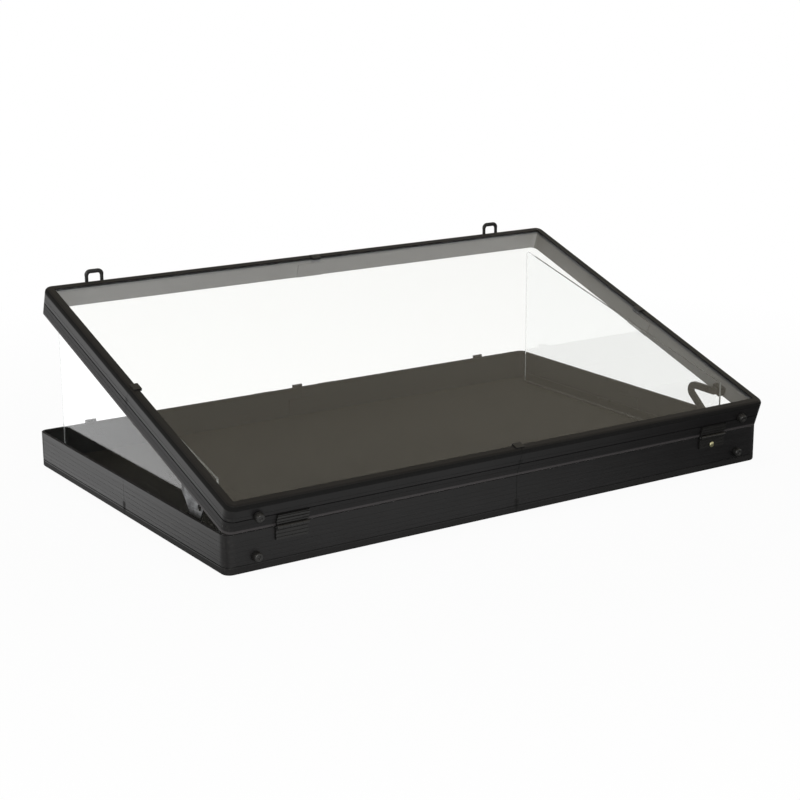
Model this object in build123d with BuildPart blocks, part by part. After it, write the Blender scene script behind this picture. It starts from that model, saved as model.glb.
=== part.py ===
from build123d import *
import math
import os

os.makedirs("parts", exist_ok=True)

# A folding table-top display case, drawn open as it stands in use: the glazed lid is propped at
# a slant by two friction stays and two clear side panels stand between the tray and the lid.
# Millimetres, +Z up, X along the width. The lid hinges run along the customer's side (-Y) and
# the open mouth with the locks and the carrying handle is on the seller's side (+Y).

# Overall sizes of the closed case
case_width = 864.0
case_depth = 559.0
base_height = 51.0
lid_height = 39.2
lid_seat_gap = 0.4
lid_angle = 18.7
corner_radius = 12.0
wall = 2.4
seam_gap = 0.3

# Base frame
bottom_rounding = 3.0
flange_width = 15.0
flange_thickness = 2.0
rim_width = 4.2
rim_thickness = 2.4
trim_groove_height = 10.0
trim_groove_width = 1.6
trim_groove_depth = 0.9

# Reeding rolled into the outside of both frames
reed_pitch = 6.2
reed_width = 0.6
reed_depth = 0.15
base_reed_start = 16.0
base_reed_margin = 5.0
lid_reed_start = 4.0
lid_reed_margin = 11.0
lid_groove_rise = 16.4

# Lid frame and glazing
lid_rounding = 5.5
lip_width = 12.5
lip_thickness = 2.2
glass_thickness = 3.2
glass_edge_gap = 0.9
tape_thickness = 0.3
seal_width = 6.0
seal_height = 2.4

# Floor of the tray
floor_gap = 0.4
floor_thickness = 3.0
lining_thickness = 1.5

# Plates and clips that join the four rails of each frame at the middle of every side
splice_length = 44.0
splice_height = 22.0
splice_thickness = 1.5
splice_flange_gap = 6.0
clip_length = 14.0
clip_overhang = 4.0
clip_thickness = 1.2

# Lid hinges
hinge_end_inset = 91.0
hinge_width = 45.0
hinge_knuckles = 5
hinge_barrel_radius = 3.0
hinge_pin_radius = 1.5
hinge_axis_out = 3.3
leaf_thickness = 2.2
leaf_height = 13.0
leaf_clearance = 0.6
ridge_height = 1.8
ridge_depth = 0.9
ridge_pitch = 4.4
ridges_per_leaf = 3
screw_radius = 4.0
screw_height = 1.4

# Running clearance round every pin, and side clearance between knuckles
pin_clearance = 0.05
knuckle_gap = 0.3

# Clear side panels and their bottom hinges
panel_thickness = 3.0
panel_inset = 21.0
panel_hinge_end_inset = 57.0
panel_mouth_end_inset = 40.0
panel_glass_margin = 2.5
panel_corner = 4.0
panel_barrel_radius = 1.9
panel_pin_radius = 0.9
panel_knuckles = 10
panel_leaf_thickness = 1.0
panel_leaf_height = 12.0
panel_strip_width = 12.5
fold_angle = 90.0

# Stays of the lid, measured from the lid hinge line with the lid closed
stay_arm_width = 10.0
stay_arm_thickness = 5.0
stay_gap = 0.4
stay_top_out = 87.0
stay_top_rise = 7.0
stay_bow_out = 147.8
stay_bow_drop = 12.5
stay_bow_radius = 8.0
stay_stud_out = 88.0
stay_eye_radius = 6.0
stay_stud_radius = 2.5
stay_head_radius = 4.5
stay_head_thickness = 1.5
stay_lug_length = 18.0
stay_lug_height = 13.0
stay_plate_thickness = 1.5
stay_plate_start = 72.0
stay_plate_end = 126.0
stay_plate_hole = 4.5
stay_plate_drop = 22.0
stay_plate_hole_drop = 15.0
stay_bracket_thickness = 2.0
stay_bracket_out = 4.4
stay_bracket_start = 74.0
stay_bracket_end = 110.0
stay_bracket_lift = 3.0
stay_bracket_top_gap = 0.4
stay_foot_width = 6.0
stay_foot_margin = 4.8

# Hasps on the lid
lock_end_inset = 87.0
hasp_pivot_height = 21.0
hasp_pivot_out = 6.0
hasp_shift = -4.5
hasp_reach = 28.2
hasp_width = 28.0
hasp_arm = 4.9
hasp_bar = 6.0
hasp_thickness = 3.6
hasp_corner = 8.0
hasp_lean_up = 19.0
hasp_lean_down = 15.0
hasp_barrel_radius = 2.6
hasp_pin_radius = 1.5
hasp_ear = 3.0
hasp_plate_height = 20.0
hasp_plate_thickness = 1.8

# Locks on the base
lock_width = 32.0
lock_top_gap = 1.0
lock_thickness = 3.8
lock_height_side = 26.0
lock_height_center = 40.0
lock_corner = 3.0
nose_width = 16.5
nose_rise = 3.6
catch_width = 12.0
catch_height = 3.0
catch_rise = 1.0
catch_length = 3.7
catch_gap = 0.3
cylinder_radius = 3.4
cylinder_drop_side = 15.0
cylinder_drop_center = 27.0
cylinder_proud = 0.8
cylinder_shift_side = -6.0
cylinder_shift_center = 4.0
keyway_width = 0.9
keyway_length = 4.0
slide_drop_side = 15.0
slide_drop_center = 21.0
slide_shift_side = 10.0
slide_shift_center = -5.0
slide_length = 6.0
slide_height = 3.2
slide_depth = 1.6
slide_knob_height = 4.6
slide_knob_proud = 2.6
slide_travel = 5.0

# Carrying handle
handle_bracket_middle = 57.0
handle_bracket_width = 31.0
handle_bracket_out = 18.0
handle_bracket_top = 46.0
handle_bracket_low = 30.0
handle_bracket_wall = 3.0
handle_pivot_out = 9.5
handle_pivot_height = 38.4
handle_pin_radius = 2.4
handle_reach = 46.0
handle_arm_thickness = 9.0
handle_side_gap = 0.5
handle_arm_width = 21.0
handle_outer_corner = 26.0
handle_inner_corner = 10.0
grip_radius = 11.0

# Domed feet on the hinge side, which the closed case stands on while it is carried
foot_end_inset = 42.0
foot_height = 8.0
foot_radius = 6.5
foot_tip_radius = 5.2
foot_dimple_radius = 2.0
foot_dimple_depth = 1.2
base_foot_level = 19.0
lid_foot_level = 21.0

# Rivets
rivet_radius = 1.8
rivet_height = 0.9

# Levels that follow from the sizes above
lid_bottom = base_height + lid_seat_gap
lid_top = lid_bottom + lid_height
glass_top = lid_top - lip_thickness - tape_thickness
glass_bottom = glass_top - glass_thickness
floor_top = flange_thickness + floor_thickness
lining_top = floor_top + lining_thickness
inner_width = case_width - 2 * wall
inner_depth = case_depth - 2 * wall
inner_radius = corner_radius - wall
catch_level = base_height + catch_rise
nose_top = base_height + nose_rise

# Hinges, locks and feet keep their distance from the ends of the case
hinge_offset = case_width / 2 - hinge_end_inset
lock_offset = case_width / 2 - lock_end_inset
foot_offset = case_width / 2 - foot_end_inset

# The handle leans out from its pivot until the grip lies on the table
handle_droop = math.asin((handle_pivot_height - grip_radius) / handle_reach)
handle_side_reach = handle_pivot_out + handle_reach * math.cos(handle_droop) + grip_radius

# The lid's own feet lean back past the hinge side when the lid is open
lid_tilt = math.radians(lid_angle)
foot_back = foot_height - hinge_axis_out
lid_foot_back = foot_back * math.cos(lid_tilt) + (lid_foot_level + foot_tip_radius) * math.sin(lid_tilt)
hinge_side_reach = hinge_axis_out + lid_foot_back

# The origin is under the middle of the open case, handle and feet included
hinge_face = (hinge_side_reach - handle_side_reach - case_depth) / 2
mouth_face = hinge_face + case_depth
middle = (hinge_face + mouth_face) / 2
end_face = case_width / 2

hinge_line_y = hinge_face - hinge_axis_out
lid_hinge_line = Axis((0, hinge_line_y, base_height), (1, 0, 0))

sides = {"left": -1, "right": 1}
lock_places = {"left": -lock_offset, "right": lock_offset, "center": 0.0}
hasp_places = {place: x_lock + hasp_shift for place, x_lock in lock_places.items()}


def level(height):
    """The plane at this height whose origin is over the middle of the case."""
    return Plane((0, middle, height))


def side_section(x):
    """The upright plane across the case at this x: sketch x runs along Y, sketch y runs up."""
    return Plane((x, 0, 0), x_dir=(0, 1, 0), z_dir=(1, 0, 0))


def mouth_section(y):
    """The upright plane along the case at this y, facing the seller: sketch x runs along -X."""
    return Plane((0, y, 0), x_dir=(-1, 0, 0), z_dir=(0, 1, 0))


def hinge_section(y):
    """The upright plane along the case at this y, facing the customer: sketch x runs along X."""
    return Plane((0, y, 0), x_dir=(1, 0, 0), z_dir=(0, -1, 0))


def swung_open(piece):
    """A piece of the lid is drawn closed and then turned about the lid hinge line."""
    return piece.rotate(lid_hinge_line, lid_angle)


def write(piece, name):
    """Give a finished piece its name and save it."""
    piece.label = name
    export_step(piece, f"parts/{name}.step")
    print(name, len(piece.solids()), round(piece.volume, 1))


def room_for_panel(distance):
    """Tallest side panel, above its pivot, that folds under the closing lid at this distance."""
    heights = []
    steps = 100
    for step in range(1, steps + 1):
        share = step / steps
        tilt = math.radians(lid_angle * share)
        lift = math.radians(fold_angle * share)
        glass = base_height + distance * math.tan(tilt) + (glass_bottom - base_height) / math.cos(tilt)
        edge = panel_thickness / 2 * math.cos(lift)
        heights.append((glass - panel_pivot_z - edge) / math.sin(lift))
    return min(heights) - panel_glass_margin


# Base frame, one rolled aluminium section round the tray, then cut into its four bent rails
base_reeds = int((base_height - base_reed_margin - base_reed_start) / reed_pitch) + 1

with BuildPart() as base_ring:
    with BuildSketch(level(0)):
        RectangleRounded(case_width, case_depth, corner_radius)
    extrude(amount=base_height)
    fillet(base_ring.edges().group_by(Axis.Z)[0], bottom_rounding)
    with BuildSketch(level(flange_thickness)):
        RectangleRounded(inner_width, inner_depth, inner_radius)
    extrude(amount=base_height - flange_thickness - rim_thickness, mode=Mode.SUBTRACT)
    with BuildSketch(level(base_height - rim_thickness)):
        RectangleRounded(
            case_width - 2 * rim_width, case_depth - 2 * rim_width, corner_radius - rim_width
        )
    extrude(amount=rim_thickness, mode=Mode.SUBTRACT)
    with BuildSketch(level(0)):
        Rectangle(case_width - 2 * flange_width, case_depth - 2 * flange_width)
    extrude(amount=flange_thickness, mode=Mode.SUBTRACT)
    with BuildSketch(level(trim_groove_height)):
        RectangleRounded(case_width + 2, case_depth + 2, corner_radius + 1)
        RectangleRounded(
            case_width - 2 * trim_groove_depth,
            case_depth - 2 * trim_groove_depth,
            corner_radius - trim_groove_depth,
            mode=Mode.SUBTRACT,
        )
    extrude(amount=trim_groove_width, mode=Mode.SUBTRACT)
    for reed in range(base_reeds):
        with BuildSketch(level(base_reed_start + reed * reed_pitch)):
            RectangleRounded(case_width + 2, case_depth + 2, corner_radius + 1)
            RectangleRounded(
                case_width - 2 * reed_depth,
                case_depth - 2 * reed_depth,
                corner_radius - reed_depth,
                mode=Mode.SUBTRACT,
            )
        extrude(amount=reed_width, mode=Mode.SUBTRACT)

# Lid frame, the same way, with a rounded shoulder and a lip over the glass
lid_reeds = int((lid_height - lid_reed_margin - lid_reed_start) / reed_pitch) + 1

with BuildPart() as lid_ring:
    with BuildSketch(level(lid_bottom)):
        RectangleRounded(case_width, case_depth, corner_radius)
    extrude(amount=lid_height)
    fillet(lid_ring.edges().group_by(Axis.Z)[-1], lid_rounding)
    with BuildSketch(level(lid_bottom)):
        RectangleRounded(inner_width, inner_depth, inner_radius)
    extrude(amount=lid_height - lip_thickness, mode=Mode.SUBTRACT)
    with BuildSketch(level(lid_top - lip_thickness)):
        Rectangle(case_width - 2 * lip_width, case_depth - 2 * lip_width)
    extrude(amount=lip_thickness, mode=Mode.SUBTRACT)
    with BuildSketch(level(lid_bottom + lid_groove_rise)):
        RectangleRounded(case_width + 2, case_depth + 2, corner_radius + 1)
        RectangleRounded(
            case_width - 2 * trim_groove_depth,
            case_depth - 2 * trim_groove_depth,
            corner_radius - trim_groove_depth,
            mode=Mode.SUBTRACT,
        )
    extrude(amount=trim_groove_width, mode=Mode.SUBTRACT)
    for reed in range(lid_reeds):
        with BuildSketch(level(lid_bottom + lid_reed_start + reed * reed_pitch)):
            RectangleRounded(case_width + 2, case_depth + 2, corner_radius + 1)
            RectangleRounded(
                case_width - 2 * reed_depth,
                case_depth - 2 * reed_depth,
                corner_radius - reed_depth,
                mode=Mode.SUBTRACT,
            )
        extrude(amount=reed_width, mode=Mode.SUBTRACT)

# Each frame's rails meet at the middle of the four sides
corners = {
    "hinge_left": (-1, -1),
    "hinge_right": (1, -1),
    "mouth_left": (-1, 1),
    "mouth_right": (1, 1),
}
for corner, (across, along) in corners.items():
    rail_reach = case_width / 2 - seam_gap / 2
    rail_depth = case_depth / 2 - seam_gap / 2
    quarter = (across * (case_width - rail_reach) / 2, along * (case_depth - rail_depth) / 2)
    with BuildPart() as base_rail:
        add(base_ring.part)
        with BuildSketch(level(0)):
            with Locations(quarter):
                Rectangle(rail_reach, rail_depth)
        extrude(amount=base_height, mode=Mode.INTERSECT)
    write(base_rail.part, f"base_rail_{corner}")
    with BuildPart() as lid_rail:
        add(lid_ring.part)
        with BuildSketch(level(lid_bottom)):
            with Locations(quarter):
                Rectangle(rail_reach, rail_depth)
        extrude(amount=lid_height, mode=Mode.INTERSECT)
    write(swung_open(lid_rail.part), f"lid_rail_{corner}")

# Splice plates inside the seams
splice_long_y = inner_depth / 2 - splice_thickness / 2
splice_end_x = inner_width / 2 - splice_thickness / 2

with BuildPart() as base_splice_plates:
    with BuildSketch(level(flange_thickness + floor_thickness + splice_flange_gap)):
        with Locations((0, splice_long_y), (0, -splice_long_y)):
            Rectangle(splice_length, splice_thickness)
        with Locations((splice_end_x, 0), (-splice_end_x, 0)):
            Rectangle(splice_thickness, splice_length)
    extrude(amount=splice_height)
write(base_splice_plates.part, "base_splice_plates")

with BuildPart() as lid_splice_plates:
    with BuildSketch(level(lid_bottom + lid_seat_gap)):
        with Locations((0, splice_long_y), (0, -splice_long_y)):
            Rectangle(splice_length, splice_thickness)
        with Locations((splice_end_x, 0), (-splice_end_x, 0)):
            Rectangle(splice_thickness, splice_length)
    extrude(amount=splice_height)
write(swung_open(lid_splice_plates.part), "lid_splice_plates")

# Clips that hook over the lip at the lid's seams and bear on the glass
clip_reach = lip_width + clip_overhang
clip_foot_y = case_depth / 2 - lip_width - clip_overhang / 2
clip_foot_x = case_width / 2 - lip_width - clip_overhang / 2
clip_start = lid_rounding
clip_plate = clip_reach - clip_start
clip_plate_y = case_depth / 2 - clip_start - clip_plate / 2
clip_plate_x = case_width / 2 - clip_start - clip_plate / 2

with BuildPart() as lid_seam_clips:
    with BuildSketch(level(lid_top)):
        with Locations((0, clip_plate_y), (0, -clip_plate_y)):
            Rectangle(clip_length, clip_plate)
        with Locations((clip_plate_x, 0), (-clip_plate_x, 0)):
            Rectangle(clip_plate, clip_length)
    extrude(amount=clip_thickness)
    with BuildSketch(level(glass_top)):
        with Locations((0, clip_foot_y), (0, -clip_foot_y)):
            Rectangle(clip_length, clip_overhang)
        with Locations((clip_foot_x, 0), (-clip_foot_x, 0)):
            Rectangle(clip_overhang, clip_length)
    extrude(amount=lid_top - glass_top)
write(swung_open(lid_seam_clips.part), "lid_seam_clips")

# Floor panel on the base flange, and the felt lining on the floor panel
with BuildPart() as floor_panel:
    with BuildSketch(level(flange_thickness)):
        RectangleRounded(
            inner_width - 2 * floor_gap, inner_depth - 2 * floor_gap, inner_radius - floor_gap
        )
    extrude(amount=floor_thickness)
write(floor_panel.part, "floor_panel")

with BuildPart() as floor_lining:
    with BuildSketch(level(floor_top)):
        RectangleRounded(
            inner_width - 4 * floor_gap, inner_depth - 4 * floor_gap, inner_radius - 2 * floor_gap
        )
    extrude(amount=lining_thickness)
write(floor_lining.part, "floor_lining")

# Glass of the lid, with the tape above it and the rubber seal that holds it up from below
pane_width = inner_width - 2 * glass_edge_gap
pane_depth = inner_depth - 2 * glass_edge_gap

with BuildPart() as lid_glass:
    with BuildSketch(level(glass_bottom)):
        RectangleRounded(pane_width, pane_depth, inner_radius - glass_edge_gap)
    extrude(amount=glass_thickness)
write(swung_open(lid_glass.part), "lid_glass")

with BuildPart() as glazing_seal:
    with BuildSketch(level(glass_top)):
        RectangleRounded(pane_width, pane_depth, inner_radius - glass_edge_gap)
        Rectangle(
            case_width - 2 * (wall + seal_width), case_depth - 2 * (wall + seal_width), mode=Mode.SUBTRACT
        )
    extrude(amount=tape_thickness)
    with BuildSketch(level(glass_bottom - seal_height)):
        RectangleRounded(inner_width, inner_depth, inner_radius)
        Rectangle(
            case_width - 2 * (wall + seal_width), case_depth - 2 * (wall + seal_width), mode=Mode.SUBTRACT
        )
    extrude(amount=seal_height)
write(swung_open(glazing_seal.part), "glazing_seal")

# Lid hinges: a ridged leaf on each frame, knuckles in turn along the seam, and a pin
knuckle_length = hinge_width / hinge_knuckles
leaf_start = hinge_barrel_radius + leaf_clearance


def hinge_leaf(x_middle, upward, first_knuckle):
    """One leaf, drawn closed: upward is 1 for the lid's leaf and -1 for the base's."""
    with BuildPart() as leaf:
        leaf_middle = base_height + upward * (leaf_start + leaf_height / 2)
        with BuildSketch(hinge_section(hinge_face)):
            with Locations((x_middle, leaf_middle)):
                RectangleRounded(hinge_width, leaf_height, ridge_height / 2)
        extrude(amount=leaf_thickness)
        with BuildSketch(hinge_section(hinge_face - leaf_thickness)):
            for ridge in range(ridges_per_leaf):
                ridge_level = leaf_start + ridge_height + ridge * ridge_pitch
                with Locations((x_middle, base_height + upward * ridge_level)):
                    Rectangle(hinge_width, ridge_height)
        extrude(amount=ridge_depth)
        for knuckle in range(first_knuckle, hinge_knuckles, 2):
            start = x_middle - hinge_width / 2 + knuckle * knuckle_length + knuckle_gap / 2
            with BuildSketch(side_section(start)):
                with Locations((hinge_line_y, base_height)):
                    Circle(hinge_barrel_radius)
                web_height = leaf_start + ridge_height
                with Locations((hinge_face - leaf_thickness / 2 - knuckle_gap / 2,
                                base_height + upward * web_height / 2)):
                    Rectangle(leaf_thickness - knuckle_gap, web_height)
            extrude(amount=knuckle_length - knuckle_gap)
        with BuildSketch(side_section(x_middle - hinge_width / 2)):
            with Locations((hinge_line_y, base_height)):
                Circle(hinge_pin_radius + pin_clearance)
        extrude(amount=hinge_width, mode=Mode.SUBTRACT)
    return leaf.part


for side, sign in sides.items():
    write(hinge_leaf(sign * hinge_offset, -1, 0), f"hinge_base_leaf_{side}")
    write(swung_open(hinge_leaf(sign * hinge_offset, 1, 1)), f"hinge_lid_leaf_{side}")

with BuildPart() as lid_hinge_pins:
    for sign in sides.values():
        with BuildSketch(side_section(sign * hinge_offset - hinge_width / 2)):
            with Locations((hinge_line_y, base_height)):
                Circle(hinge_pin_radius)
        extrude(amount=hinge_width)
write(swung_open(lid_hinge_pins.part), "lid_hinge_pins")

# Brass screw in the lower leaf of the right hinge
screw_level = base_height - leaf_start - leaf_height + screw_radius
with BuildPart() as hinge_screw:
    with BuildSketch(hinge_section(hinge_face - leaf_thickness - ridge_depth)):
        with Locations((hinge_offset, screw_level)):
            Circle(screw_radius)
    extrude(amount=screw_height)
    fillet(hinge_screw.edges().sort_by(Axis.Y)[0], screw_height / 2)
write(hinge_screw.part, "hinge_screw")

# Side panels, which stand on piano hinges along the tray floor and fold inwards
panel_middle_x = end_face - panel_inset - panel_thickness / 2
panel_pivot_z = lining_top + panel_barrel_radius + knuckle_gap
panel_start_y = hinge_face + panel_hinge_end_inset
panel_end_y = mouth_face - panel_mouth_end_inset
panel_length = panel_end_y - panel_start_y
panel_low_z = panel_pivot_z + panel_barrel_radius + knuckle_gap
panel_top_start = panel_pivot_z + room_for_panel(panel_start_y - hinge_line_y)
panel_top_end = panel_pivot_z + room_for_panel(panel_end_y - hinge_line_y)
panel_knuckle = panel_length / panel_knuckles
strip_edge = panel_middle_x + panel_barrel_radius + knuckle_gap

for side, sign in sides.items():
    with BuildPart() as side_panel:
        with BuildSketch(side_section(sign * panel_middle_x - panel_thickness / 2)) as panel_shape:
            with BuildLine():
                Polyline(
                    (panel_start_y, panel_low_z),
                    (panel_end_y, panel_low_z),
                    (panel_end_y, panel_top_end),
                    (panel_start_y, panel_top_start),
                    close=True,
                )
            make_face()
            fillet(panel_shape.vertices().group_by(Axis.Y)[-1].sort_by(Axis.Z)[-1], panel_corner)
            fillet(panel_shape.vertices().group_by(Axis.Y)[0].sort_by(Axis.Z)[-1], panel_corner)
        extrude(amount=panel_thickness)
    write(side_panel.part, f"side_panel_{side}")

    leaf_x = sign * (panel_middle_x + panel_thickness / 2 + panel_leaf_thickness / 2)
    with BuildPart() as panel_hinge_leaf:
        with BuildSketch(Plane((leaf_x, middle, panel_low_z))):
            with Locations((0, (panel_start_y + panel_end_y) / 2 - middle)):
                Rectangle(panel_leaf_thickness, panel_length)
        extrude(amount=panel_leaf_height)
        for knuckle in range(1, panel_knuckles, 2):
            start = panel_start_y + knuckle * panel_knuckle + knuckle_gap / 2
            with BuildSketch(mouth_section(start)):
                with Locations((-sign * panel_middle_x, panel_pivot_z)):
                    Circle(panel_barrel_radius)
                with Locations((-leaf_x, (panel_pivot_z + panel_low_z) / 2)):
                    Rectangle(panel_leaf_thickness, panel_low_z - panel_pivot_z)
            extrude(amount=panel_knuckle - knuckle_gap)
        with BuildSketch(mouth_section(panel_start_y)):
            with Locations((-sign * panel_middle_x, panel_pivot_z)):
                Circle(panel_pin_radius + pin_clearance)
        extrude(amount=panel_length, mode=Mode.SUBTRACT)
    write(panel_hinge_leaf.part, f"panel_hinge_leaf_{side}")

    with BuildPart() as panel_hinge_strip:
        with BuildSketch(level(lining_top)):
            with Locations((sign * (strip_edge + panel_strip_width / 2),
                            (panel_start_y + panel_end_y) / 2 - middle)):
                Rectangle(panel_strip_width, panel_length)
        extrude(amount=panel_leaf_thickness)
        for knuckle in range(0, panel_knuckles, 2):
            start = panel_start_y + knuckle * panel_knuckle + knuckle_gap / 2
            with BuildSketch(mouth_section(start)):
                with Locations((-sign * panel_middle_x, panel_pivot_z)):
                    Circle(panel_barrel_radius)
                with Locations((-sign * (panel_middle_x + strip_edge) / 2,
                                lining_top + panel_leaf_thickness / 2)):
                    Rectangle(strip_edge - panel_middle_x, panel_leaf_thickness)
            extrude(amount=panel_knuckle - knuckle_gap)
        with BuildSketch(mouth_section(panel_start_y)):
            with Locations((-sign * panel_middle_x, panel_pivot_z)):
                Circle(panel_pin_radius + pin_clearance)
        extrude(amount=panel_length, mode=Mode.SUBTRACT)
    write(panel_hinge_strip.part, f"panel_hinge_strip_{side}")

with BuildPart() as panel_hinge_pins:
    with BuildSketch(mouth_section(panel_start_y)):
        with Locations((-panel_middle_x, panel_pivot_z), (panel_middle_x, panel_pivot_z)):
            Circle(panel_pin_radius)
    extrude(amount=panel_length)
write(panel_hinge_pins.part, "panel_hinge_pins")

# Stays. A black arm, fixed to the lid rail by a lug, bows away from the hinge side and down into
# the tray. The stud at its lower end runs in the slot of a bracket on the tray wall; the slot is
# an arc about the lid hinge line and its upper end stops the lid at its slant. The stud's height
# is the one that puts the slot in the middle of the bracket.
stay_bracket_low = lining_top + stay_bracket_lift
stay_bracket_high = base_height - stay_bracket_top_gap
stud_lift = stay_stud_out * math.sin(lid_tilt)
slot_room = 2 * base_height + stud_lift - stay_bracket_low - stay_bracket_high
stay_stud_drop = slot_room / (1 + math.cos(lid_tilt))
stud_reach = math.hypot(stay_stud_out, stay_stud_drop)
stud_angle_closed = -math.degrees(math.atan2(stay_stud_drop, stay_stud_out))
stud_angle_open = stud_angle_closed + lid_angle
slot_half = stay_stud_radius + pin_clearance
bracket_out = end_face - wall - stay_bracket_out
bracket_in = bracket_out - stay_bracket_thickness
plate_out = bracket_in - stay_gap
arm_out_face = plate_out - stay_plate_thickness
arm_in_face = arm_out_face - stay_arm_thickness
head_out = bracket_out + stay_gap + stay_head_thickness


def from_hinge(out, up):
    """The point in a side section this far from the lid hinge line."""
    return (hinge_line_y + out, base_height + up)


def around_hinge(reach, degrees):
    """The point in a side section at this reach and slope from the lid hinge line."""
    turn = math.radians(degrees)
    return from_hinge(reach * math.cos(turn), reach * math.sin(turn))


def slice_start(sign, near, far):
    """Where a slice between these distances from the middle starts, counted along X."""
    return near if sign > 0 else -far


for side, sign in sides.items():
    with BuildPart() as stay_arm:
        with BuildSketch(side_section(slice_start(sign, arm_in_face, arm_out_face))):
            with BuildLine() as arm_line:
                Polyline(
                    from_hinge(stay_top_out, stay_top_rise),
                    from_hinge(stay_bow_out, -stay_bow_drop),
                    from_hinge(stay_stud_out, -stay_stud_drop),
                )
                fillet(arm_line.vertices().sort_by(Axis.X)[-1], stay_bow_radius)
            trace(line_width=stay_arm_width)
            with Locations(from_hinge(stay_top_out, stay_top_rise)):
                Circle(stay_arm_width / 2)
            with Locations(from_hinge(stay_stud_out, -stay_stud_drop)):
                Circle(stay_eye_radius)
                Circle(stay_stud_radius, mode=Mode.SUBTRACT)
        extrude(amount=stay_arm_thickness)
    write(swung_open(stay_arm.part), f"stay_arm_{side}")

with BuildPart() as stay_brackets:
    bracket_middle = (stay_bracket_start + stay_bracket_end) / 2
    foot_strip = stay_bracket_high - stay_bracket_low - 2 * stay_foot_margin
    for sign in sides.values():
        with BuildSketch(side_section(slice_start(sign, bracket_in, bracket_out))):
            with Locations((hinge_line_y + bracket_middle, (stay_bracket_low + stay_bracket_high) / 2)):
                RectangleRounded(
                    stay_bracket_end - stay_bracket_start, stay_bracket_high - stay_bracket_low, 3
                )
            with BuildLine():
                near = stud_reach - slot_half
                far = stud_reach + slot_half
                half = (stud_angle_closed + stud_angle_open) / 2
                cap = math.degrees(slot_half / stud_reach)
                ThreePointArc(
                    around_hinge(near, stud_angle_closed),
                    around_hinge(near, half),
                    around_hinge(near, stud_angle_open),
                )
                ThreePointArc(
                    around_hinge(near, stud_angle_open),
                    around_hinge(stud_reach, stud_angle_open + cap),
                    around_hinge(far, stud_angle_open),
                )
                ThreePointArc(
                    around_hinge(far, stud_angle_open),
                    around_hinge(far, half),
                    around_hinge(far, stud_angle_closed),
                )
                ThreePointArc(
                    around_hinge(far, stud_angle_closed),
                    around_hinge(stud_reach, stud_angle_closed - cap),
                    around_hinge(near, stud_angle_closed),
                )
            make_face(mode=Mode.SUBTRACT)
        extrude(amount=stay_bracket_thickness)
        with BuildSketch(side_section(slice_start(sign, bracket_out, end_face - wall))):
            for foot in (stay_bracket_start + stay_foot_width / 2, stay_bracket_end - stay_foot_width / 2):
                with Locations((hinge_line_y + foot, (stay_bracket_low + stay_bracket_high) / 2)):
                    Rectangle(stay_foot_width, foot_strip)
        extrude(amount=stay_bracket_out)
write(stay_brackets.part, "stay_brackets")

with BuildPart() as stay_lugs:
    for sign in sides.values():
        with BuildSketch(side_section(slice_start(sign, arm_out_face, end_face - wall))):
            with Locations(from_hinge(stay_top_out, stay_top_rise + 1.5)):
                RectangleRounded(stay_lug_length, stay_lug_height, 2)
        extrude(amount=end_face - wall - arm_out_face)
write(swung_open(stay_lugs.part), "stay_lugs")

with BuildPart() as stay_studs:
    for sign in sides.values():
        with BuildSketch(side_section(slice_start(sign, arm_in_face, head_out))):
            with Locations(from_hinge(stay_stud_out, -stay_stud_drop)):
                Circle(stay_stud_radius)
        extrude(amount=head_out - arm_in_face)
        with BuildSketch(side_section(slice_start(sign, bracket_out + stay_gap, head_out))):
            with Locations(from_hinge(stay_stud_out, -stay_stud_drop)):
                Circle(stay_head_radius)
        extrude(amount=stay_head_thickness)
write(swung_open(stay_studs.part), "stay_studs")

# A zinc check plate lies against the outside of the left arm only
with BuildPart() as stay_check_plate:
    with BuildSketch(side_section(slice_start(-1, arm_out_face, plate_out))) as plate_shape:
        with BuildLine():
            plate_top = stay_top_rise + 1.5 - stay_lug_height / 2 - 0.5
            plate_neck = stay_plate_start + stay_eye_radius
            Polyline(
                from_hinge(stay_plate_start, plate_top),
                from_hinge(stay_plate_end, plate_top),
                from_hinge(stay_plate_end, -stay_plate_drop),
                from_hinge(stay_stud_out + 1.6 * stay_eye_radius, -stay_stud_drop - 5.5),
                from_hinge(stay_stud_out - 1.2 * stay_eye_radius, -stay_stud_drop - 5.5),
                close=True,
            )
        make_face()
        fillet(plate_shape.vertices(), 3)
        with Locations(from_hinge(plate_neck + stay_eye_radius, -stay_plate_hole_drop)):
            Circle(stay_plate_hole, mode=Mode.SUBTRACT)
        with Locations(from_hinge(stay_stud_out, -stay_stud_drop)):
            Circle(stay_stud_radius, mode=Mode.SUBTRACT)
    extrude(amount=stay_plate_thickness)
write(swung_open(stay_check_plate.part), "stay_check_plate")

# Hasps: a plate with two ears on the lid, a loop on a pin between the ears
hasp_pivot_y = mouth_face + hasp_pivot_out
hasp_pivot_z = lid_bottom + hasp_pivot_height
ear_start = hasp_width / 2 + knuckle_gap
ear_end = ear_start + hasp_ear


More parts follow.
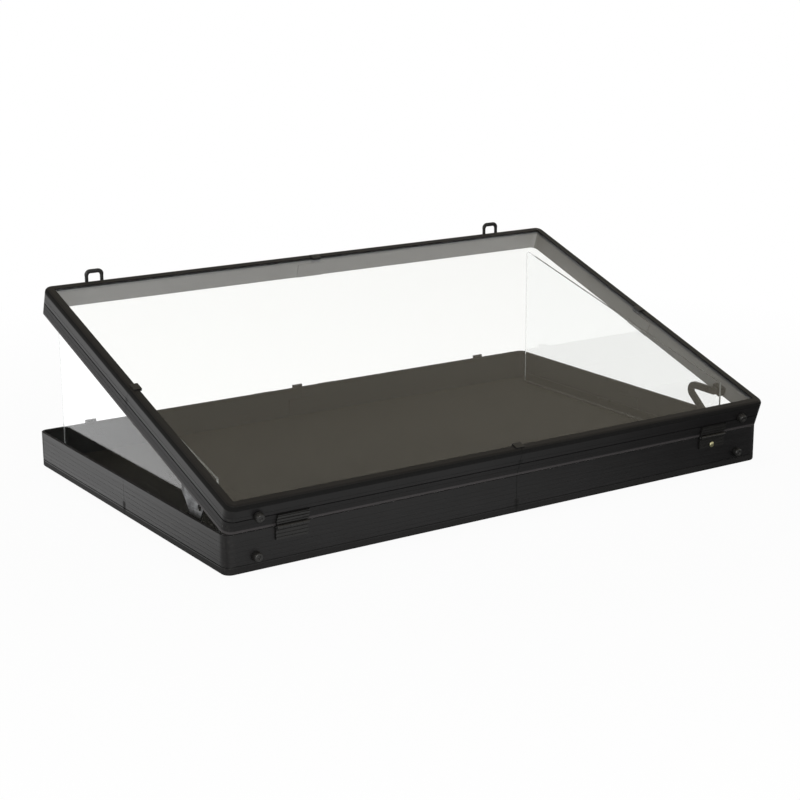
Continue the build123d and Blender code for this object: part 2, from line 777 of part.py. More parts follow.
def hasp_loop(x_middle, upward):
    """The loop, drawn on the closed lid: upward is 1 when flipped up, -1 when hanging down. It
    stands a little off the lid either way, as its stiff pin leaves it."""
    far_level = hasp_pivot_z + upward * hasp_reach
    with BuildPart() as loop:
        with BuildSketch(mouth_section(hasp_pivot_y - hasp_thickness / 2)) as loop_shape:
            with Locations((-x_middle, (hasp_pivot_z + far_level) / 2)):
                Rectangle(hasp_width, hasp_reach)
            if upward > 0:
                far_corners = loop_shape.vertices().group_by(Axis.Z)[-1]
            else:
                far_corners = loop_shape.vertices().group_by(Axis.Z)[0]
            fillet(far_corners, hasp_corner)
            hole_middle = (hasp_pivot_z + far_level) / 2 + upward * (hasp_barrel_radius - hasp_bar) / 2
            with Locations((-x_middle, hole_middle)):
                Rectangle(
                    hasp_width - 2 * hasp_arm,
                    hasp_reach - hasp_bar - hasp_barrel_radius,
                    mode=Mode.SUBTRACT,
                )
        extrude(amount=hasp_thickness)
        with BuildSketch(side_section(x_middle - hasp_width / 2)):
            with Locations((hasp_pivot_y, hasp_pivot_z)):
                Circle(hasp_barrel_radius)
        extrude(amount=hasp_width)
        with BuildSketch(side_section(x_middle - hasp_width / 2)):
            with Locations((hasp_pivot_y, hasp_pivot_z)):
                Circle(hasp_pin_radius + pin_clearance)
        extrude(amount=hasp_width, mode=Mode.SUBTRACT)
    lean = -hasp_lean_up if upward > 0 else hasp_lean_down
    return loop.part.rotate(Axis((0, hasp_pivot_y, hasp_pivot_z), (1, 0, 0)), lean)


for place, x_hasp in hasp_places.items():
    with BuildPart() as hasp_plate:
        with BuildSketch(mouth_section(mouth_face)):
            with Locations((-x_hasp, hasp_pivot_z)):
                RectangleRounded(2 * ear_end, hasp_plate_height, lock_corner)
        extrude(amount=hasp_plate_thickness)
        for ear_x in (x_hasp - ear_end, x_hasp + ear_start):
            with BuildSketch(side_section(ear_x)):
                with Locations((hasp_pivot_y, hasp_pivot_z)):
                    Circle(hasp_pivot_out / 2)
                with Locations((mouth_face + hasp_pivot_out / 2, hasp_pivot_z)):
                    Rectangle(hasp_pivot_out, hasp_pivot_out)
            extrude(amount=hasp_ear)
        with BuildSketch(side_section(x_hasp - ear_end)):
            with Locations((hasp_pivot_y, hasp_pivot_z)):
                Circle(hasp_pin_radius)
        extrude(amount=2 * ear_end, mode=Mode.SUBTRACT)
    write(swung_open(hasp_plate.part), f"hasp_plate_{place}")

    upward = -1 if place == "center" else 1
    write(swung_open(hasp_loop(x_hasp, upward)), f"hasp_loop_{place}")

with BuildPart() as hasp_pins:
    for x_hasp in hasp_places.values():
        with BuildSketch(side_section(x_hasp - ear_end)):
            with Locations((hasp_pivot_y, hasp_pivot_z)):
                Circle(hasp_pin_radius)
        extrude(amount=2 * ear_end)
write(swung_open(hasp_pins.part), "hasp_pins")

# Locks on the base. The slide on the front is pushed sideways to draw the catch back into the
# nose that stands above the rail; when it returns, the catch stands out above the bar of the
# hasp and holds the lid down.
lock_top = base_height - lock_top_gap
nose_low = lock_top - lock_corner
pocket_length = slide_length + slide_travel + 2 * catch_gap
for place, x_lock in lock_places.items():
    center = place == "center"
    lock_height = lock_height_center if center else lock_height_side
    cylinder_z = lock_top - (cylinder_drop_center if center else cylinder_drop_side)
    slide_z = lock_top - (slide_drop_center if center else slide_drop_side)
    cylinder_x = x_lock + (cylinder_shift_center if center else cylinder_shift_side)
    slide_x = x_lock + (slide_shift_center if center else slide_shift_side)

    with BuildPart() as lock_body:
        with BuildSketch(mouth_section(mouth_face)):
            with Locations((-x_lock, lock_top - lock_height / 2)):
                RectangleRounded(lock_width, lock_height, lock_corner)
            with Locations((-hasp_places[place], (nose_low + nose_top) / 2)):
                Rectangle(nose_width, nose_top - nose_low)
            with Locations((-hasp_places[place], catch_level)):
                Rectangle(
                    catch_width + 2 * catch_gap, catch_height + 2 * catch_gap, mode=Mode.SUBTRACT
                )
            with Locations((-cylinder_x, cylinder_z)):
                Circle(cylinder_radius + pin_clearance, mode=Mode.SUBTRACT)
        extrude(amount=lock_thickness)
        with BuildSketch(mouth_section(mouth_face)):
            with Locations((-hasp_places[place], (base_height + nose_top) / 2)):
                Rectangle(nose_width + 2, nose_rise)
        extrude(amount=catch_gap, mode=Mode.SUBTRACT)
        with BuildSketch(mouth_section(mouth_face + lock_thickness - slide_depth - catch_gap)):
            with Locations((slide_travel / 2 - slide_x, slide_z)):
                Rectangle(pocket_length, slide_height + 2 * catch_gap)
        extrude(amount=slide_depth + catch_gap, mode=Mode.SUBTRACT)
        front_edges = lock_body.faces().sort_by(Axis.Y)[-1].outer_wire().edges()
        chamfer(front_edges, 0.6)
    write(lock_body.part, f"lock_body_{place}")

    with BuildPart() as lock_catch:
        catch_start = mouth_face + lock_thickness - catch_length
        with BuildSketch(mouth_section(catch_start)):
            with Locations((-hasp_places[place], catch_level)):
                Rectangle(catch_width, catch_height)
        extrude(amount=catch_length - pin_clearance)
        upper_front = lock_catch.edges().filter_by(Axis.X).group_by(Axis.Y)[-1].sort_by(Axis.Z)[-1]
        chamfer(upper_front, catch_height / 2)
    write(lock_catch.part, f"lock_catch_{place}")

    with BuildPart() as key_cylinder:
        with BuildSketch(mouth_section(mouth_face + catch_gap)):
            with Locations((-cylinder_x, cylinder_z)):
                Circle(cylinder_radius)
        extrude(amount=lock_thickness + cylinder_proud - catch_gap)
        with BuildSketch(mouth_section(mouth_face + lock_thickness)):
            with Locations((-cylinder_x, cylinder_z)):
                Rectangle(keyway_width, keyway_length)
        extrude(amount=cylinder_proud, mode=Mode.SUBTRACT)
    write(key_cylinder.part, f"key_cylinder_{place}")

    with BuildPart() as latch_slide:
        with BuildSketch(mouth_section(mouth_face + lock_thickness - slide_depth)):
            with Locations((-slide_x, slide_z)):
                Rectangle(slide_length, slide_height)
        extrude(amount=slide_depth + catch_gap)
        with BuildSketch(mouth_section(mouth_face + lock_thickness + catch_gap)):
            with Locations((-slide_x, slide_z)):
                RectangleRounded(slide_length, slide_knob_height, slide_knob_height / 4)
        extrude(amount=slide_knob_proud)
        with BuildSketch(mouth_section(mouth_face + lock_thickness + slide_knob_proud)):
            for groove in (-1, 0, 1):
                with Locations((-slide_x + groove * slide_length / 4, slide_z)):
                    Rectangle(keyway_width, slide_knob_height)
        extrude(amount=catch_gap, mode=Mode.SUBTRACT)
    write(latch_slide.part, f"latch_slide_{place}")

# Carrying handle on two socket brackets, resting on the table in front of the case
bracket_height = handle_bracket_top - handle_bracket_low
bracket_middle_z = (handle_bracket_top + handle_bracket_low) / 2
cheek_in = handle_bracket_middle - handle_bracket_width / 2
cheek_out = handle_bracket_middle + handle_bracket_width / 2
arm_in = cheek_in + handle_bracket_wall + handle_side_gap
arm_out = cheek_out - handle_bracket_wall - handle_side_gap
pivot_y = mouth_face + handle_pivot_out
ring_height = handle_bracket_top - handle_pivot_height - handle_arm_thickness / 2 - handle_side_gap

with BuildPart() as handle_brackets:
    for sign in sides.values():
        with BuildSketch(mouth_section(mouth_face)):
            with Locations((-sign * handle_bracket_middle, bracket_middle_z)):
                RectangleRounded(handle_bracket_width, bracket_height, lock_corner / 2)
        extrude(amount=handle_bracket_wall)
        cheek_starts = (cheek_in, cheek_out - handle_bracket_wall)
        if sign < 0:
            cheek_starts = (-cheek_in - handle_bracket_wall, -cheek_out)
        for cheek in cheek_starts:
            with BuildSketch(side_section(cheek)) as cheek_shape:
                with Locations((mouth_face + handle_bracket_out / 2, bracket_middle_z)):
                    Rectangle(handle_bracket_out, bracket_height)
                low_corner = cheek_shape.vertices().group_by(Axis.Y)[-1].sort_by(Axis.Z)[0]
                chamfer(low_corner, bracket_height / 3)
            extrude(amount=handle_bracket_wall)
        with BuildSketch(Plane((0, mouth_face, handle_bracket_top - ring_height))):
            with Locations((sign * handle_bracket_middle, handle_bracket_out - handle_bracket_wall / 2)):
                Rectangle(handle_bracket_width, handle_bracket_wall)
        extrude(amount=ring_height)
        bore_start = cheek_in if sign > 0 else -cheek_out
        with BuildSketch(side_section(bore_start)):
            with Locations((pivot_y, handle_pivot_height)):
                Circle(handle_pin_radius)
        extrude(amount=handle_bracket_width, mode=Mode.SUBTRACT)
    fillet(handle_brackets.edges().filter_by(Axis.Z).group_by(Axis.Y)[-1], handle_bracket_wall / 3)
write(handle_brackets.part, "handle_brackets")

with BuildPart() as handle_pins:
    for pin_start in (cheek_in, -cheek_out):
        with BuildSketch(side_section(pin_start)):
            with Locations((pivot_y, handle_pivot_height)):
                Circle(handle_pin_radius)
        extrude(amount=handle_bracket_width)
write(handle_pins.part, "handle_pins")

# The handle is drawn flat in its own plane, which runs out and down from the pivot
handle_plane = Plane(
    (0, pivot_y, handle_pivot_height),
    x_dir=(1, 0, 0),
    z_dir=(0, math.sin(handle_droop), math.cos(handle_droop)),
)
arm_half = handle_arm_thickness / 2
window_half = arm_out - handle_arm_width
grip_half = arm_out - handle_outer_corner / 2
grip_plane = Plane(
    handle_plane.from_local_coords((-grip_half, handle_reach, 0)),
    x_dir=handle_plane.y_dir,
    z_dir=(1, 0, 0),
)

with BuildPart() as grip:
    with BuildSketch(grip_plane):
        Circle(grip_radius)
    extrude(amount=2 * grip_half)
    fillet(grip.edges().filter_by(GeomType.CIRCLE), grip_radius * 0.6)

with BuildPart() as carrying_handle:
    with BuildSketch(handle_plane.offset(-arm_half)) as handle_shape:
        with Locations((0, (handle_reach + arm_half) / 2)):
            Rectangle(2 * arm_out, handle_reach + arm_half)
        outer_corners = handle_shape.vertices().group_by(Axis.Y)[-1]
        fillet(outer_corners, handle_outer_corner)
    extrude(amount=handle_arm_thickness)
    with BuildSketch(handle_plane.offset(-grip_radius)):
        with Locations((0, (handle_reach - grip_radius) / 2 - grip_radius)):
            RectangleRounded(2 * window_half, handle_reach + grip_radius, handle_inner_corner)
    extrude(amount=2 * grip_radius, mode=Mode.SUBTRACT)
    add(grip.part)
    for arm_start in (arm_in, -arm_out):
        with BuildSketch(side_section(arm_start)):
            with Locations((pivot_y, handle_pivot_height)):
                Circle(arm_half)
        extrude(amount=arm_out - arm_in)
    with BuildSketch(side_section(-arm_out)):
        with Locations((pivot_y, handle_pivot_height)):
            Circle(handle_pin_radius + pin_clearance)
    extrude(amount=2 * arm_out, mode=Mode.SUBTRACT)
write(carrying_handle.part, "carrying_handle")


# Domed feet on the hinge side of both frames, with a dimple for the rivet
def hinge_side_feet(foot_level):
    with BuildPart() as feet:
        for sign in sides.values():
            foot_plane = Plane(
                (sign * foot_offset, hinge_face, foot_level), x_dir=(1, 0, 0), z_dir=(0, -1, 0)
            )
            with BuildSketch(foot_plane):
                Circle(foot_radius)
            with BuildSketch(foot_plane.offset(foot_height)):
                Circle(foot_tip_radius)
            loft()
            with BuildSketch(foot_plane.offset(foot_height - foot_dimple_depth)):
                Circle(foot_dimple_radius)
            extrude(amount=foot_dimple_depth, mode=Mode.SUBTRACT)
    return feet.part


write(hinge_side_feet(base_foot_level), "base_feet")
write(swung_open(hinge_side_feet(base_height + lid_foot_level)), "lid_feet")


# Rivets of the lock bodies and of the hasp plates
def rivet_row(face_y, places):
    with BuildPart() as rivets:
        for x, z in places:
            with BuildSketch(mouth_section(face_y)):
                with Locations((-x, z)):
                    Circle(rivet_radius)
            extrude(amount=rivet_height)
        fillet(rivets.edges().group_by(Axis.Y)[-1], rivet_height / 2)
    return rivets.part


lock_rivets = []
hasp_rivets = []
for place, x_lock in lock_places.items():
    lock_height = lock_height_center if place == "center" else lock_height_side
    for across in (-1, 1):
        rivet_x = x_lock + across * (lock_width / 2 - 1.6 * rivet_radius)
        lock_rivets.append((rivet_x, lock_top - lock_height + 1.6 * rivet_radius))
        hasp_rivet_x = hasp_places[place] + across * (ear_start - 2 * rivet_radius)
        hasp_rivets.append((hasp_rivet_x, hasp_pivot_z - hasp_plate_height / 2 + 1.5 * rivet_radius))

write(rivet_row(mouth_face + lock_thickness, lock_rivets), "base_rivets")
write(swung_open(rivet_row(mouth_face + hasp_plate_thickness, hasp_rivets)), "lid_rivets")
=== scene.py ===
import math

import bpy
import numpy as np
from mathutils import Matrix, Vector


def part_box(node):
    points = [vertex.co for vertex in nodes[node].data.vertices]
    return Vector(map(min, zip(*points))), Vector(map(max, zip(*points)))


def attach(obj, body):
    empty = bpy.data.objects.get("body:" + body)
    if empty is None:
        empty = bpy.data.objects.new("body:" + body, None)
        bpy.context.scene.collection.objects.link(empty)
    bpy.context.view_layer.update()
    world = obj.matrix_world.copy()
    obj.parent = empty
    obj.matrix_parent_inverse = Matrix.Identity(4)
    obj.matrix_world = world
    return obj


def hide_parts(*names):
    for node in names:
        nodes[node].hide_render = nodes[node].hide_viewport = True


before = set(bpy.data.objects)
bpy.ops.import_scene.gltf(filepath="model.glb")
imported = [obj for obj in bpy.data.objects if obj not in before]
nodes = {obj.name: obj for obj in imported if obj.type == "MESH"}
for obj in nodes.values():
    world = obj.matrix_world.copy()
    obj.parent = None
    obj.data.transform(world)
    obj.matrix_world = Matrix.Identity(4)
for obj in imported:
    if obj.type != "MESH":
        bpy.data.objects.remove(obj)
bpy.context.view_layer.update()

# Sizes of the case, in metres, in the frame's own axes
MM = 0.001
CASE_WIDTH = 864 * MM
CASE_DEPTH = 559 * MM
BASE_HEIGHT = 51 * MM
LID_BOTTOM = 51.4 * MM
LID_TOP = 90.6 * MM
LID_ANGLE = math.radians(18.7)
HINGE_FACE = -300.1486 * MM
MOUTH_FACE = HINGE_FACE + CASE_DEPTH
MIDDLE = (HINGE_FACE + MOUTH_FACE) / 2
HINGE_LINE = np.array([0.0, HINGE_FACE - 3.3 * MM, BASE_HEIGHT])
LOCK_X = 345 * MM
FOOT_X = 390 * MM


# --- Camera, floor and light ---

def aim_camera():
    """The photograph's lower view: from the customer's side, left of the middle, a little above.
    The distance, lens and small shifts are those at which the rails' corners fit the photograph."""
    azimuth, elevation, roll = math.radians(-33.42), math.radians(16.22), math.radians(-0.27)
    distance, aside, above = 2.6302, 0.0023, 0.0306
    pan, tilt = 0.0004, 0.0223
    flat = math.cos(elevation)
    back = Vector((math.sin(azimuth) * flat, -math.cos(azimuth) * flat, math.sin(elevation)))
    level = Vector((math.cos(azimuth), math.sin(azimuth), 0.0))
    upright = back.cross(level)
    right = math.cos(roll) * level + math.sin(roll) * upright
    up = math.cos(roll) * upright - math.sin(roll) * level
    place = Vector((0.0, MIDDLE, 0.0)) + distance * back + aside * level + above * upright
    toward = (-back - pan * right + tilt * up).normalized()
    right = (right - right.dot(toward) * toward).normalized()
    up = right.cross(toward)
    data = bpy.data.cameras.new("photo_camera")
    data.sensor_width = 36.0
    data.lens = 82.2
    data.clip_start = 0.05
    data.clip_end = 50.0
    camera = bpy.data.objects.new("photo_camera", data)
    bpy.context.scene.collection.objects.link(camera)
    turn = Matrix((right, up, -toward)).transposed().to_4x4()
    camera.matrix_world = Matrix.Translation(place) @ turn
    bpy.context.scene.camera = camera


def linear(colour):
    """An sRGB hex colour as linear red, green, blue and an alpha of 1."""
    srgb = np.array([int(colour[i:i + 2], 16) for i in (1, 3, 5)]) / 255
    value = np.where(srgb <= 0.04045, srgb / 12.92, ((srgb + 0.055) / 1.055) ** 2.4)
    return (*value.tolist(), 1.0)


def add(tree, kind, sockets=None, **settings):
    """One node with its settings; sockets gives a value or another node's output for each input."""
    made = tree.nodes.new(kind)
    for name, value in settings.items():
        setattr(made, name, value)
    for name, value in (sockets or {}).items():
        if isinstance(value, bpy.types.NodeSocket):
            tree.links.new(value, made.inputs[name])
        else:
            made.inputs[name].default_value = value
    return made


def new_material(name):
    """An empty node material and its tree."""
    material = bpy.data.materials.new(name)
    material.use_nodes = True
    material.node_tree.nodes.clear()
    return material, material.node_tree


def softbox(name, place, toward, size, watts, mirrored):
    """An oblong lamp with a diffuser, aimed at a point. Shiny surfaces show it only if mirrored."""
    data = bpy.data.lights.new(name, "AREA")
    data.shape = "RECTANGLE"
    data.size, data.size_y = size
    data.energy = watts
    lamp = bpy.data.objects.new(name, data)
    bpy.context.scene.collection.objects.link(lamp)
    lamp.visible_glossy = mirrored
    lamp.location = place
    lamp.rotation_euler = (Vector(toward) - Vector(place)).to_track_quat("-Z", "Y").to_euler()


def light_studio():
    """A white backdrop, with a darker and warmer ceiling that only the glass and glossy surfaces
    show, and softboxes at the left, above and in front. The one above is kept out of all
    reflections, because the lid glass would mirror it as a hard wedge."""
    world = bpy.data.worlds.new("studio")
    world.use_nodes = True
    tree = world.node_tree
    tree.nodes.clear()
    path = add(tree, "ShaderNodeLightPath")
    ray = add(tree, "ShaderNodeTexCoord").outputs["Generated"]
    height = add(tree, "ShaderNodeSeparateXYZ", {0: ray}).outputs["Z"]
    # the ceiling begins 7 degrees above the horizon and is full at 30
    ceiling = add(tree, "ShaderNodeMapRange", {
        "Value": height, "From Min": 0.12, "From Max": 0.5,
    }).outputs[0]
    shade = add(tree, "ShaderNodeMapRange", {
        "Value": ceiling, "To Min": 1.0, "To Max": 0.34,
    }).outputs[0]
    # a ray that leaves a pane upward was mirrored by its lower face, so both kinds meet the ceiling
    bounced = add(tree, "ShaderNodeMath", {
        0: path.outputs["Is Glossy Ray"], 1: path.outputs["Is Transmission Ray"],
    }, operation="MAXIMUM").outputs[0]
    mirrored = add(tree, "ShaderNodeMath", {0: shade, 1: bounced}, operation="MULTIPLY").outputs[0]
    spread = add(tree, "ShaderNodeMath", {
        0: path.outputs["Is Diffuse Ray"], 1: 0.4,
    }, operation="MULTIPLY").outputs[0]
    strength = add(tree, "ShaderNodeMath", {
        0: path.outputs["Is Camera Ray"], 1: mirrored,
    }, operation="MAXIMUM").outputs[0]
    strength = add(tree, "ShaderNodeMath", {0: strength, 1: spread}, operation="MAXIMUM").outputs[0]
    warm = add(tree, "ShaderNodeMath", {0: ceiling, 1: bounced}, operation="MULTIPLY").outputs[0]
    tint = add(tree, "ShaderNodeMix", {
        "Factor": warm, "A": linear("#ffffff"), "B": linear("#fff5e0"),
    }, data_type="RGBA").outputs["Result"]
    light = add(tree, "ShaderNodeBackground", {"Color": tint, "Strength": strength})
    add(tree, "ShaderNodeOutputWorld", {"Surface": light.outputs[0]})
    bpy.context.scene.world = world
    softbox("key_left", (-2.6, 0.2, 1.4), (0.0, 0.0, 0.1), (1.6, 1.6), 9, True)
    softbox("top", (-0.3, -0.2, 2.6), (0.0, 0.0, 0.0), (2.0, 1.6), 32, False)
    softbox("front", (-0.9, -2.6, 0.9), (0.0, 0.2, 0.2), (1.4, 1.0), 26, True)


def lay_floor():
    """A pale paper sweep. The lens sees it almost white, with the case's soft shadow kept. Its
    reflections are painted: in glossy surfaces it is dark in front of the case and white behind it,
    and glows brighter than white."""
    mesh = bpy.data.meshes.new("floor")
    half = 12.0  # metres, past the camera's view on every side
    corners = [(-half, -half, 0), (half, -half, 0), (half, half, 0), (-half, half, 0)]
    mesh.from_pydata(corners, [], [(0, 1, 2, 3)])
    floor = bpy.data.objects.new("floor", mesh)
    bpy.context.scene.collection.objects.link(floor)
    material, tree = new_material("matt_paper")
    path = add(tree, "ShaderNodeLightPath")
    place = add(tree, "ShaderNodeTexCoord").outputs["Object"]
    place_xyz = add(tree, "ShaderNodeSeparateXYZ", {0: place})
    # painted reflection: in glossy surfaces the paper ahead of the case turns black toward the
    # right, though the lens sees it pale
    painted_dark_reflection = add(tree, "ShaderNodeMapRange", {
        "Value": place_xyz.outputs["X"], "From Min": -0.05, "From Max": 0.4, "To Min": 0.1,
        "To Max": 0.9,
    }).outputs[0]
    painted_dark_reflection = add(tree, "ShaderNodeMath", {
        0: painted_dark_reflection, 1: path.outputs["Is Glossy Ray"],
    }, operation="MULTIPLY").outputs[0]
    ahead = add(tree, "ShaderNodeMapRange", {
        "Value": place_xyz.outputs["Y"], "From Min": -0.28, "From Max": -0.2, "To Min": 1.0,
        "To Max": 0.0,
    }).outputs[0]
    painted_dark_reflection = add(tree, "ShaderNodeMath", {0: painted_dark_reflection, 1: ahead}, operation="MULTIPLY").outputs[0]
    colour = add(tree, "ShaderNodeMix", {
        "Factor": painted_dark_reflection, "A": linear("#c8c8c6"), "B": linear("#101010"),
    }, data_type="RGBA").outputs["Result"]
    paper = add(tree, "ShaderNodeBsdfDiffuse", {"Color": colour}).outputs[0]
    # painted reflection: glossy surfaces see the paper glow brighter than white
    painted_reflection_glow = add(tree, "ShaderNodeMapRange", {
        "Value": path.outputs["Is Glossy Ray"], "To Min": 1.0, "To Max": 1.15,
    }).outputs[0]
    white = add(tree, "ShaderNodeEmission", {
        "Color": linear("#ffffff"), "Strength": painted_reflection_glow,
    }).outputs[0]
    seen = add(tree, "ShaderNodeMath", {
        0: path.outputs["Is Camera Ray"], 1: path.outputs["Is Transmission Ray"],
    }, operation="MAXIMUM").outputs[0]
    away = add(tree, "ShaderNodeVectorMath", {0: place}, operation="LENGTH").outputs["Value"]
    # close to the case a twentieth of what the lens sees is lit paper, which holds the shadow
    far = add(tree, "ShaderNodeMapRange", {
        "Value": away, "From Min": 0.6, "From Max": 1.3, "To Min": 0.95, "To Max": 1.0,
    }).outputs[0]
    seen = add(tree, "ShaderNodeMath", {0: seen, 1: far}, operation="MULTIPLY").outputs[0]
    # painted reflection: how white the paper shines in glossy surfaces, little ahead of the case,
    # fully behind it
    front = add(tree, "ShaderNodeMapRange", {
        "Value": place_xyz.outputs["X"], "From Min": 0.05, "From Max": 0.4, "To Min": 0.19,
        "To Max": 0.05,
    }).outputs[0]
    behind = add(tree, "ShaderNodeMapRange", {
        "Value": place_xyz.outputs["Y"], "From Min": -0.3, "From Max": 0.2, "To Min": front,
        "To Max": 1.25,
    }).outputs[0]
    mirrored = add(tree, "ShaderNodeMath", {
        0: path.outputs["Is Glossy Ray"], 1: behind,
    }, operation="MULTIPLY").outputs[0]
    share = add(tree, "ShaderNodeMath", {0: seen, 1: mirrored}, operation="MAXIMUM").outputs[0]
    mixed = add(tree, "ShaderNodeMixShader", {0: share, 1: paper, 2: white}).outputs[0]
    add(tree, "ShaderNodeOutputMaterial", {"Surface": mixed})
    mesh.materials.append(material)


# --- Materials ---

def case_coordinates(tree, in_lid):
    """Coordinates whose origin is under the middle of the case; a lid piece's are those of the
    closed lid."""
    place = add(tree, "ShaderNodeTexCoord").outputs["Object"]
    if in_lid:
        back = add(tree, "ShaderNodeMapping", {0: place, "Location": -Vector(HINGE_LINE)})
        turned = add(tree, "ShaderNodeMapping", {
            0: back.outputs[0], "Rotation": (-LID_ANGLE, 0.0, 0.0),
        })
        shift = Vector(HINGE_LINE) - Vector((0.0, MIDDLE, 0.0))
        return add(tree, "ShaderNodeMapping", {0: turned.outputs[0], "Location": shift}).outputs[0]
    return add(tree, "ShaderNodeMapping", {0: place, "Location": (0.0, -MIDDLE, 0.0)}).outputs[0]


def depth_behind_face(tree, from_end, from_side):
    """How far a point lies inside the case's outline, a rectangle with rounded corners. With a and
    b the radius less the distance to the end and side face, and neither counted below 0 in the
    length: radius - |(a, b)| - min(max(a, b), 0)."""
    radius = 12 * MM
    end = add(tree, "ShaderNodeMath", {0: radius, 1: from_end}, operation="SUBTRACT").outputs[0]
    side = add(tree, "ShaderNodeMath", {0: radius, 1: from_side}, operation="SUBTRACT").outputs[0]
    end_out = add(tree, "ShaderNodeMath", {0: end, 1: 0.0}, operation="MAXIMUM").outputs[0]
    side_out = add(tree, "ShaderNodeMath", {0: side, 1: 0.0}, operation="MAXIMUM").outputs[0]
    pair = add(tree, "ShaderNodeCombineXYZ", {0: end_out, 1: side_out}).outputs[0]
    out = add(tree, "ShaderNodeVectorMath", {0: pair}, operation="LENGTH").outputs["Value"]
    nearest = add(tree, "ShaderNodeMath", {0: end, 1: side}, operation="MAXIMUM").outputs[0]
    nearest = add(tree, "ShaderNodeMath", {0: nearest, 1: 0.0}, operation="MINIMUM").outputs[0]
    inward = add(tree, "ShaderNodeMath", {0: radius, 1: out}, operation="SUBTRACT").outputs[0]
    return add(tree, "ShaderNodeMath", {0: inward, 1: nearest}, operation="SUBTRACT").outputs[0]


